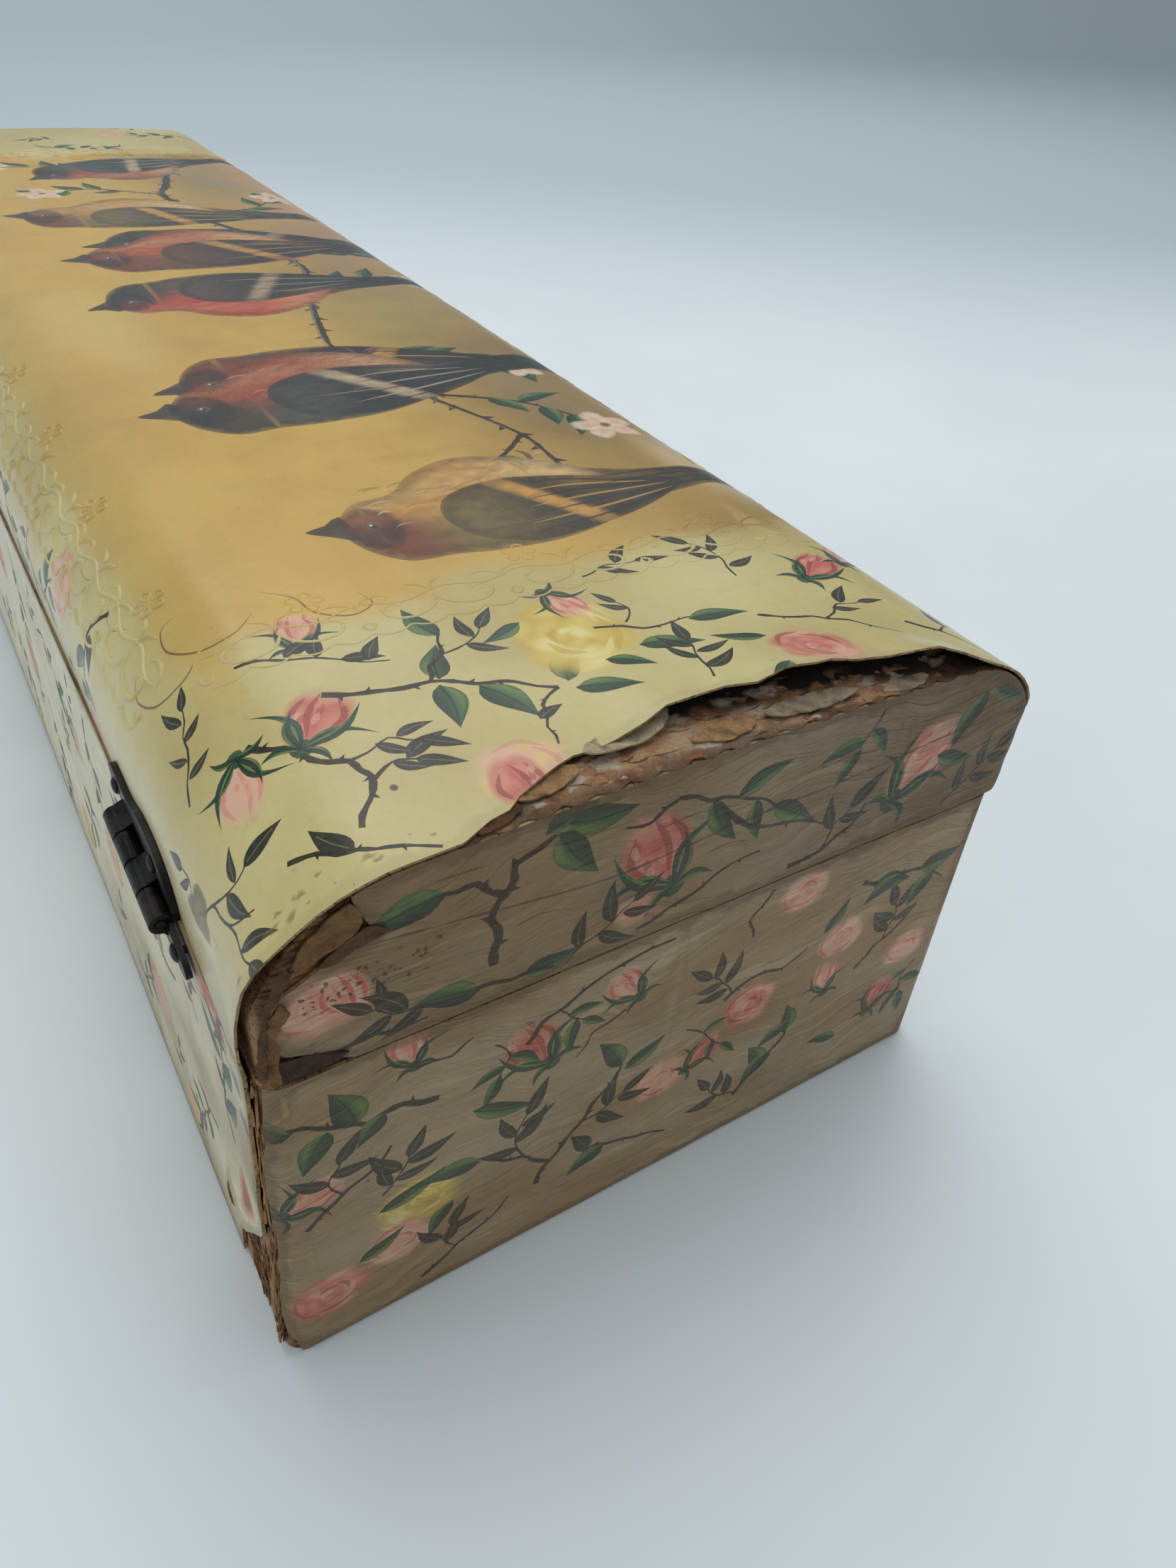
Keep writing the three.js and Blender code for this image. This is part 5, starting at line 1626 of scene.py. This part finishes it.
sideReach = halfLength - corner + wrap
backTear = [(-149.3, baseFoot), (-149.8, 4.0), (-150.4, 9.2), (-151.2, 12.6), (-151.5, 15.4), (-151.3, 18.4),
            (-151.6, 20.4), (-152.8, 20.3), (-154.2, 19.5), (-154.8, 17.6), (-155.2, 15.6), (-156.4, 16.4),
            (-158.1, 18.3), (-160.2, 20.6), (-162.0, 23.8), (-162.2, 27.0), (-161.8, 31.0), (-162.3, 36.0),
            (-162.0, 42.0), (-162.3, 47.0), (-162.0, baseTop)]
backOutline = backTear + [(u, baseTop) for u in np.linspace(-158, 162, 40)]
backOutline += [(sideReach, z) for z in np.linspace(baseTop, baseFoot, 14)]
backOutline += [(u, baseFoot) for u in np.linspace(160, -147, 40)]
frontOutline = [(u, baseTop) for u in np.linspace(-sideReach, sideReach, 44)]
frontOutline += [(sideReach, z) for z in np.linspace(baseTop, baseFoot, 14)[1:-1]]
frontOutline += [(u, baseFoot) for u in np.linspace(sideReach, -sideReach, 44)]
frontOutline += [(-sideReach, z) for z in np.linspace(baseFoot, baseTop, 14)[1:-1]]


def backLift(u, z):
    # the torn corner's lips stand off the wood
    away = np.hypot((u + 153.0) / 7.0, (z - 18.0) / 8.0)
    edge = smooth(-153, -162, u) * smooth(16, 26, z) * 0.35
    return 1.3 * smooth(1.0, 0.15, away) + edge + uneven(0.04, 8)(u, z)


sideLines = [[(side * (162.0 + k * 0.75), 0), (side * (162.0 + k * 0.75), 52)] for side in (-1, 1) for k in range(4)]
backDots = [(u, z) for u in np.arange(-163, -146, 1.2) for z in np.arange(1.5, 50, 1.5)]
backDots += [(u, z) for u in np.arange(-145, 164, 5.0) for z in np.arange(3, 50, 5.0)]
backDots = np.array(backDots)
backDots = backDots[inside(backDots, np.array(backOutline)) & (edgeDistance(backDots, np.array(backOutline)) > 0.5)]
backPrint = strewn((-160, 162), (3, 49), 19, 83)
for u, z, reach, tint in ((-149, 49.2, 3.4, "red"), (-153.4, 47.6, 2.6, "deepRed"), (-158.6, 46.4, 2.8, "smudge"),
                          (-143.6, 49.4, 2.6, "pink"), (-160.4, 42.0, 2.2, "smudge")):
    backPrint += softBlob(u, z, (reach, 1.5), -12, petalPaint(inks[tint], inks[tint], 0.85, 0.2, 0.5), 0.2, int(-u))
backPrint += softBlob(-156.5, 23.5, (3.6, 2.2), 60, petalPaint(inks["deepRed"], inks["red"], 0.9, 0.2, 0.5), 0.2, 9)
printedSheet("base_back_printed", "base", backOutline, backPrint, baseSidePlace(1), sideToneWithPaintedLight,
             [sideSkin, sheetEdge], sideLines, backDots, backLift, replaces="base_back_cover")
frontDots = [(u, z) for u in np.arange(-160, 161, 6.0) for z in np.arange(4, 50, 6.0)]
printedSheet("base_front_printed", "base", frontOutline, strewn((-160, 160), (4, 48), 26, 84),
             baseSidePlace(-1), sideToneWithPaintedLight, [sideSkin, sheetEdge], sideLines, frontDots, uneven(0.04, 9),
             replaces="base_front_cover")


# Bare wood and hinge steel on the solids that show as they are

def setMaterial(node, material):
    mesh = bpy.data.objects[node].data
    for k in range(max(1, len(mesh.materials))):
        if len(mesh.materials) > k:
            mesh.materials[k] = material
        else:
            mesh.materials.append(material)


for node in ("base_floor_board", "base_back_wall", "base_front_wall", "lid_back_rail", "lid_front_rail",
             "lid_top_board"):
    setMaterial(node, woodAlong)
for node in ("base_near_end_wall", "base_far_end_wall", "lid_near_end_board", "lid_far_end_board"):
    setMaterial(node, woodAcross)
print("sheets and boards ready")


# The bare torn place under the lifted sheet, with paper lining, flakes and old glue, and a painted shadow under the
# sheet's torn edge

def tornToneAndShadow(u, v):
    raw = mix(linear(190, 142, 100), linear(214, 172, 128), smooth(-0.6, 0.7, ripple(u * 1.6, v * 0.7, 1.7, 2)))
    raw = mix(raw, linear(132, 84, 52), smooth(0.25, 0.9, ripple(u * 2.2, v, 2.3, 6)) * 0.8)
    glue = smooth(-0.1, 0.5, ripple(u * 1.4, v * 0.8, 3.1, 11)) * smooth(-34, -16, v)
    raw = mix(raw, linear(214, 192, 162), glue * 0.55)
    raw = mix(raw, linear(70, 42, 24), smooth(3.4, 0.0, u + 165.2) * 0.75)
    # painted shadow: the lining turns near-black just past the tear, where the lifted sheet overhangs it
    return mix(raw, linear(20, 10, 6), smooth(-1.4, 1.2, u - tornAt(v)) * 0.97)


def liningLift(u, v):
    flake = 0.16 * np.abs(ripple(u * 2.1, v * 0.9, 1.15, 4)) + 0.1 * np.abs(ripple(u, v * 1.7, 0.7, 8))
    return -0.52 + flake + 0.12 * smooth(-0.2, 0.5, ripple(u, v, 4.0, 1.0))


def liningPrint():
    rng = random.Random(601)
    marks = []
    for i in range(120):
        at = (rng.uniform(-164.4, -158), rng.uniform(-34, 27))
        size = rng.uniform(0.4, 1.9)
        tone = rng.choice([(222, 206, 180), (208, 164, 116), (112, 70, 42), (170, 114, 70), (228, 214, 194), (196, 148, 100)])
        marks += softBlob(*at, (size * 0.6, size), rng.uniform(-25, 25),
                          petalPaint(linear(*tone), linear(*tone), 0.75, 0.25, 0.5), 0.4, i, 9, (0.5,))
    for i in range(26):
        u, v = rng.uniform(-164.4, -159.5), rng.uniform(-33, 27)
        reach = rng.uniform(1.5, 4.5)
        marks += crack([(u, v), (u + rng.uniform(-0.5, 0.7), v + reach / 2), (u + rng.uniform(-0.3, 0.9), v + reach)],
                       0.28, 610 + i, strength=0.75)
    return marks


def paperMaterial(name):
    material, tree, shader = newMaterial(name)
    flat = attribute(tree, "flat", "Vector")
    base = mixColour(tree, attribute(tree, "print", "Alpha"), attribute(tree, "tone", "Color"), attribute(tree, "print", "Color"))
    fine = noise(tree, flat, 2.4, 5, 0.7)
    base = mixColour(tree, ramp(tree, fine, 0.35, 0.7, 0, 0.5), base, (0.42, 0.3, 0.2, 1), "MULTIPLY")
    tree.links.new(base, shader.inputs["Base Color"])
    tree.links.new(ramp(tree, fine, 0.3, 0.7, 0.75, 0.95), shader.inputs["Roughness"])
    bumpInto(tree, shader, noise(tree, stretched(tree, flat, (1.2, 3.0, 1)), 1.4, 5, 0.7), 0.0004)
    return material


tornPaper = paperMaterial("tornLiningPaper")
liningOutline = [(-164.9 + 0.35 * math.sin(v * 1.7), v) for v in np.arange(-38.5, 32, 0.9)]
liningOutline += [(-150 + 0.8 * math.sin(v / 3), v) for v in np.arange(31.5, -38.6, -2.5)]
liningDots = [(u, v) for u in np.arange(-164.2, -151, 0.8) for v in np.arange(-37.6, 31, 0.9)]
printedSheet("torn_lining", "lid", liningOutline, liningPrint(), lidTopPlace, tornToneAndShadow,
             [tornPaper, tornPaper], [], liningDots, liningLift, thickness=0.12)


def steelMaterial(name):
    material, tree, shader = newMaterial(name)
    where = tree.nodes.new("ShaderNodeTexCoord").outputs["Object"]
    patches = noise(tree, where, 260, 5, 0.65)
    colour = mixColour(tree, ramp(tree, patches, 0.35, 0.7), (0.012, 0.011, 0.010, 1), (0.04, 0.034, 0.028, 1))
    worn = ramp(tree, noise(tree, where, 900, 4, 0.7), 0.60, 0.72)
    colour = mixColour(tree, mathNode(tree, "MULTIPLY", worn, 0.5), colour, (0.10, 0.085, 0.068, 1))
    tree.links.new(colour, shader.inputs["Base Color"])
    shader.inputs["Metallic"].default_value = 0.75
    tree.links.new(ramp(tree, patches, 0.3, 0.7, 0.36, 0.58), shader.inputs["Roughness"])
    bumpInto(tree, shader, noise(tree, where, 700, 4, 0.6), 0.00012)
    return material


blackSteel = steelMaterial("blackenedSteel")
for node in bpy.data.objects:
    if node.type == "MESH" and "_hinge_" in node.name:
        setMaterial(node.name, blackSteel)
print("torn lining and hinges ready")


# Curled ends of the layers at the worn shoulder, and splinters at the foot of the corner

scrapGrounds = {"pale": linear(146, 106, 58), "brown": linear(112, 74, 38), "dark": linear(76, 46, 24),
                "cream": linear(216, 198, 160), "tan": linear(200, 156, 104), "grey": linear(190, 170, 140)}


def tornScrap(name, outline, place, stand, thickness, ground, seed, low=-0.25):
    # a ragged scrap of sheet or lining that stands off the box, a thin solid
    outline = closedCurve(outline, 0.7)
    rng = random.Random(seed)
    outline = outline + np.array([(rng.uniform(-0.14, 0.14), rng.uniform(-0.14, 0.14)) for p in outline])
    middle = outline.mean(0)
    base = scrapGrounds[ground]

    def tone(s, z):
        return mix(base, base * 0.35, smooth(-0.2, 0.9, ripple(s * 0.5 + z * 0.5, (z - s) * 3.0, 1.3, 3)))

    def lift(s, z):
        curl = np.hypot(s - middle[0], (z - middle[1]) * 0.7)
        return low + stand * (0.35 + 0.65 * smooth(0, 4, curl)) + 0.12 * ripple(s, z, 1.1, 2)
    printedSheet(name, "lid", outline, [], place, tone, [tornPaper, tornPaper], [],
                 grainOf(outline, 0.8), lift, thickness=thickness)


def curledLayers():
    shoulder = (
        ([(46.4, 67.2), (47.5, 64.5), (48.3, 60.8), (48.8, 57.0), (48.9, 53.6), (48.4, 53.4), (48.2, 57.4), (47.6, 61.2),
          (46.6, 64.4), (45.6, 66.8)], 1.25, 0.18, "brown"),
        ([(46.6, 63.0), (47.8, 60.4), (48.2, 57.0), (48.6, 53.4), (48.8, 51.9), (47.6, 52.1), (47.4, 55.0), (47.2, 58.6),
          (46.0, 61.6)], 0.8, 0.2, "pale"),
        ([(39.6, 71.3), (41.6, 70.2), (43.8, 68.4), (45.2, 66.6), (44.6, 65.6), (42.6, 66.4), (40.4, 67.2), (38.9, 69.0)],
         0.42, 0.2, "pale"),
        ([(41.2, 53.0), (43.6, 54.0), (46.2, 54.6), (48.1, 54.6), (48.7, 52.2), (46.2, 51.8), (43.0, 51.9)], 0.5, 0.2, "dark"),
        ([(36.4, 67.0), (38.6, 68.0), (41.0, 66.8), (43.0, 65.6), (41.2, 65.2), (38.8, 65.9)], 0.6, 0.16, "brown"),
    )
    for k, (outline, stand, thickness, ground) in enumerate(shoulder):
        tornScrap(f"curled_layer_{k + 1}", outline, lidEndPlace(-1), stand, thickness, ground, 700 + k)
    # flaps of sheet and lining along the tear
    tearFlaps = (
        ([(-159.3, 14.0), (-158.0, 10.4), (-157.2, 6.5), (-157.2, 3.2), (-159.2, 4.0), (-160.5, 7.2), (-161.0, 10.8),
          (-160.7, 13.8)], 1.1, 0.2, "cream"),
        ([(-161.6, 23.4), (-159.9, 21.6), (-159.5, 18.0), (-160.8, 15.4), (-162.4, 17.4), (-163.0, 21.4)], 0.5, 0.2, "tan"),
        ([(-164.2, 28.4), (-162.4, 27.0), (-161.8, 24.0), (-163.4, 22.6), (-164.6, 25.6)], 0.5, 0.18, "brown"),
        ([(-162.0, -6.0), (-160.9, -10.0), (-161.4, -16.0), (-162.8, -18.4), (-163.6, -13.0), (-163.4, -8.4)], 0.4, 0.18, "grey"),
        ([(-162.4, 3.4), (-161.2, 0.6), (-161.4, -3.4), (-163.0, -4.2), (-163.9, -0.6)], 0.4, 0.16, "tan"),
        ([(-164.0, -21.0), (-162.6, -23.6), (-163.2, -28.0), (-164.4, -27.0), (-164.8, -23.6)], 0.35, 0.16, "grey"),
    )
    for k, (outline, stand, thickness, ground) in enumerate(tearFlaps):
        tornScrap(f"torn_flap_{k + 1}", outline, lidTopPlace, stand, thickness, ground, 740 + k, -0.3)


def splinters(name, starts, ends, thick, material, body, seed):
    # tapering slivers, each with four sides
    rng = random.Random(seed)
    verts, faces = [], []
    for start, end in zip(starts, ends):
        start, end = np.array(start, float), np.array(end, float)
        along = (end - start) / np.linalg.norm(end - start)
        side = np.cross(along, (0.3, 0.9, 0.2))
        side /= np.linalg.norm(side)
        other = np.cross(along, side)
        base = len(verts)
        wide = thick * rng.uniform(0.6, 1.5)
        for share, size in ((0.0, 1.0), (0.35, 0.85), (0.7, 0.5), (1.0, 0.08)):
            centre = start + (end - start) * share + side * rng.uniform(-0.12, 0.12)
            for a, b in ((1, 0.4), (-1, 0.5), (-1, -0.5), (1, -0.4)):
                verts.append((centre + side * a * wide * size / 2 + other * b * wide * size / 2) * mm)
        for ring in range(3):
            for j in range(4):
                a = base + ring * 4 + j
                b = base + ring * 4 + (j + 1) % 4
                faces.append((a, b, b + 4, a + 4))
        faces.append((base + 3, base + 2, base + 1, base))
        faces.append((base + 12, base + 13, base + 14, base + 15))
    mesh = bpy.data.meshes.new(name)
    mesh.from_pydata(verts, [], faces)
    mesh.materials.append(material)
    piece = bpy.data.objects.new(name, mesh)
    bpy.context.scene.collection.objects.link(piece)
    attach(piece, body)


def cornerSlivers():
    rng = random.Random(801)
    starts, ends = [], []
    for i in range(120):
        # down the near back corner of the base, thickest near its foot
        z = 50 * rng.random() ** 1.5 + 0.8
        half = float(baseHalfAt(z))
        theta = rng.uniform(1.08, 1.5)
        out = rng.uniform(-0.75, -0.15) if z > 8 else rng.uniform(-0.6, 0.1)
        y = half - 3 + (3 + out) * math.sin(theta)
        x = -(halfLength - 3 + (3 + out) * math.cos(theta))
        reach = rng.uniform(2, 7) * (1 if z > 6 else 0.6)
        top = min(z + reach, 50.4)
        starts.append((x, y, z))
        ends.append((x + rng.uniform(-0.25, 0.25), y - 0.05 * (top - z) + rng.uniform(-0.3, 0.2), top))
    for i in range(70):
        # the bare wedge on the back, under the torn sheet
        x, z = rng.uniform(-163, -151), rng.uniform(0.8, 15)
        y = float(baseHalfAt(z)) - rng.uniform(0.4, 0.75)
        reach = rng.uniform(2, 5)
        starts.append((x, y, z))
        ends.append((x + rng.uniform(-0.5, 0.5), float(baseHalfAt(z + reach)) - rng.uniform(0.2, 0.6), z + reach))
    splinters("base_corner_slivers", starts, ends, 0.42, crushedWood, "base", 802)
    starts, ends = [], []
    for i in range(90):
        # ridges of end grain on the lid's worn shoulder
        s, z = rng.uniform(39, 48.5), rng.uniform(52, 72)
        depth = lidTopPlace(np.array([0.0]), np.array([0.0]), np.array([0.0]))[0][2] - 0.9 - z
        if np.hypot(max(s - 33, 0), max(15 - depth, 0)) > 14.6 or (s < 46 and 52.6 < z < 65.5):
            continue
        starts.append((-164.3, s - 1, z))
        ends.append((-164.5 - rng.uniform(0, 0.25), s - 1 + rng.uniform(-1.6, -0.4), z + rng.uniform(1.4, 3.2)))
    splinters("lid_shoulder_slivers", starts, ends, 0.5, crushedWood, "lid", 803)


crushedWood = woodMaterial("crushedCornerWood", (0, math.pi / 2, 0), linear(190, 142, 88), linear(96, 62, 34), 0.5)
curledLayers()
cornerSlivers()
print("worn corner ready")


# The stage, light and camera

def addLight(name, at, aim, size, power, colour=(1, 1, 1)):
    data = bpy.data.lights.new(name, "AREA")
    data.shape, data.size, data.size_y = "RECTANGLE", size[0], size[1]
    data.energy, data.color = power, colour
    lamp = bpy.data.objects.new(name, data)
    lamp.location = at
    lamp.rotation_euler = (Vector(aim) - Vector(at)).to_track_quat("-Z", "Y").to_euler()
    bpy.context.scene.collection.objects.link(lamp)


def makeStage():
    # a pale floor that sweeps up far behind the box, painted darker further back
    rows = [(-12.0, 0.0), (-6.0, 0.0), (-3.0, 0.0)] + [(-1.6 + 0.2 * i, 0.0) for i in range(14)]
    rows += [(1.1 + 0.5 * math.sin(a), 0.5 - 0.5 * math.cos(a)) for a in np.linspace(0.1, math.pi / 2, 12)]
    rows += [(1.6, 0.7), (1.6, 3.0)]
    verts, faces = [], []
    for along, height in rows:
        for across in np.linspace(-14.0, 14.0, 15):
            verts.append((along, across, height))
    for i in range(len(rows) - 1):
        for j in range(14):
            a = i * 15 + j
            faces.append((a, a + 15, a + 16, a + 1))
    mesh = bpy.data.meshes.new("paleSweep")
    mesh.from_pydata(verts, [], faces)
    mesh.shade_smooth()
    material, tree, shader = newMaterial("paleSweepPaintedFalloff")
    where = tree.nodes.new("ShaderNodeTexCoord")
    tint = mixColour(tree, ramp(tree, noise(tree, where.outputs["Object"], 9.0, 4), 0.3, 0.7),
                     rgba(linear(233, 240, 241)), rgba(linear(239, 245, 246)))
    part = tree.nodes.new("ShaderNodeSeparateXYZ")
    tree.links.new(where.outputs["Object"], part.inputs[0])
    # painted shade: the floor's colour darkens further back, standing in for the light's fall-off
    away = mathNode(tree, "ADD", mathNode(tree, "MULTIPLY", part.outputs[0], 0.82),
                    mathNode(tree, "MULTIPLY", part.outputs[1], -0.57))
    tint = mixColour(tree, ramp(tree, away, 0.12, 0.6), tint, rgba(linear(188, 198, 200)))
    tree.links.new(tint, shader.inputs["Base Color"])
    shader.inputs["Roughness"].default_value = 0.55
    mesh.materials.append(material)
    sweep = bpy.data.objects.new("paleSweep", mesh)
    bpy.context.scene.collection.objects.link(sweep)


makeStage()
addLight("broadOverhead", (0.5, -0.32, 1.15), (0.08, -0.12, 0.0), (1.2, 1.4), 9.6, (0.975, 0.985, 1.0))
addLight("windowLeft", (0.05, 1.5, 0.75), (0.05, 0.0, 0.03), (1.2, 0.9), 3.6, (0.93, 0.97, 1.0))
world = bpy.data.worlds.new("paleRoom")
world.use_nodes = True
world.node_tree.nodes["Background"].inputs[0].default_value = (0.86, 0.93, 1.0, 1)
world.node_tree.nodes["Background"].inputs[1].default_value = 0.5
bpy.context.scene.world = world
bpy.context.scene.view_settings.view_transform = "Standard"

view = {
    "place": (-0.22599, 0.05904, 0.13644),
    "right": (-0.5246, -0.8481, 0.0747),
    "down": (-0.5676, 0.2831, -0.7731),
    "forward": (0.6345, -0.4480, -0.6299),
    "focalInPixels": 1520.6,
    "framePixels": 2212,
}
camera = bpy.data.cameras.new("photoCamera")
camera.sensor_width = 36
camera.lens = camera.sensor_width * view["focalInPixels"] / view["framePixels"]
camera.clip_start = 0.005
cameraObject = bpy.data.objects.new("photoCamera", camera)
axes = Matrix([view["right"], [-c for c in view["down"]], [-c for c in view["forward"]]]).transposed()
cameraObject.matrix_world = Matrix.Translation(view["place"]) @ axes.to_quaternion().to_matrix().to_4x4()
bpy.context.scene.collection.objects.link(cameraObject)
bpy.context.scene.camera = cameraObject
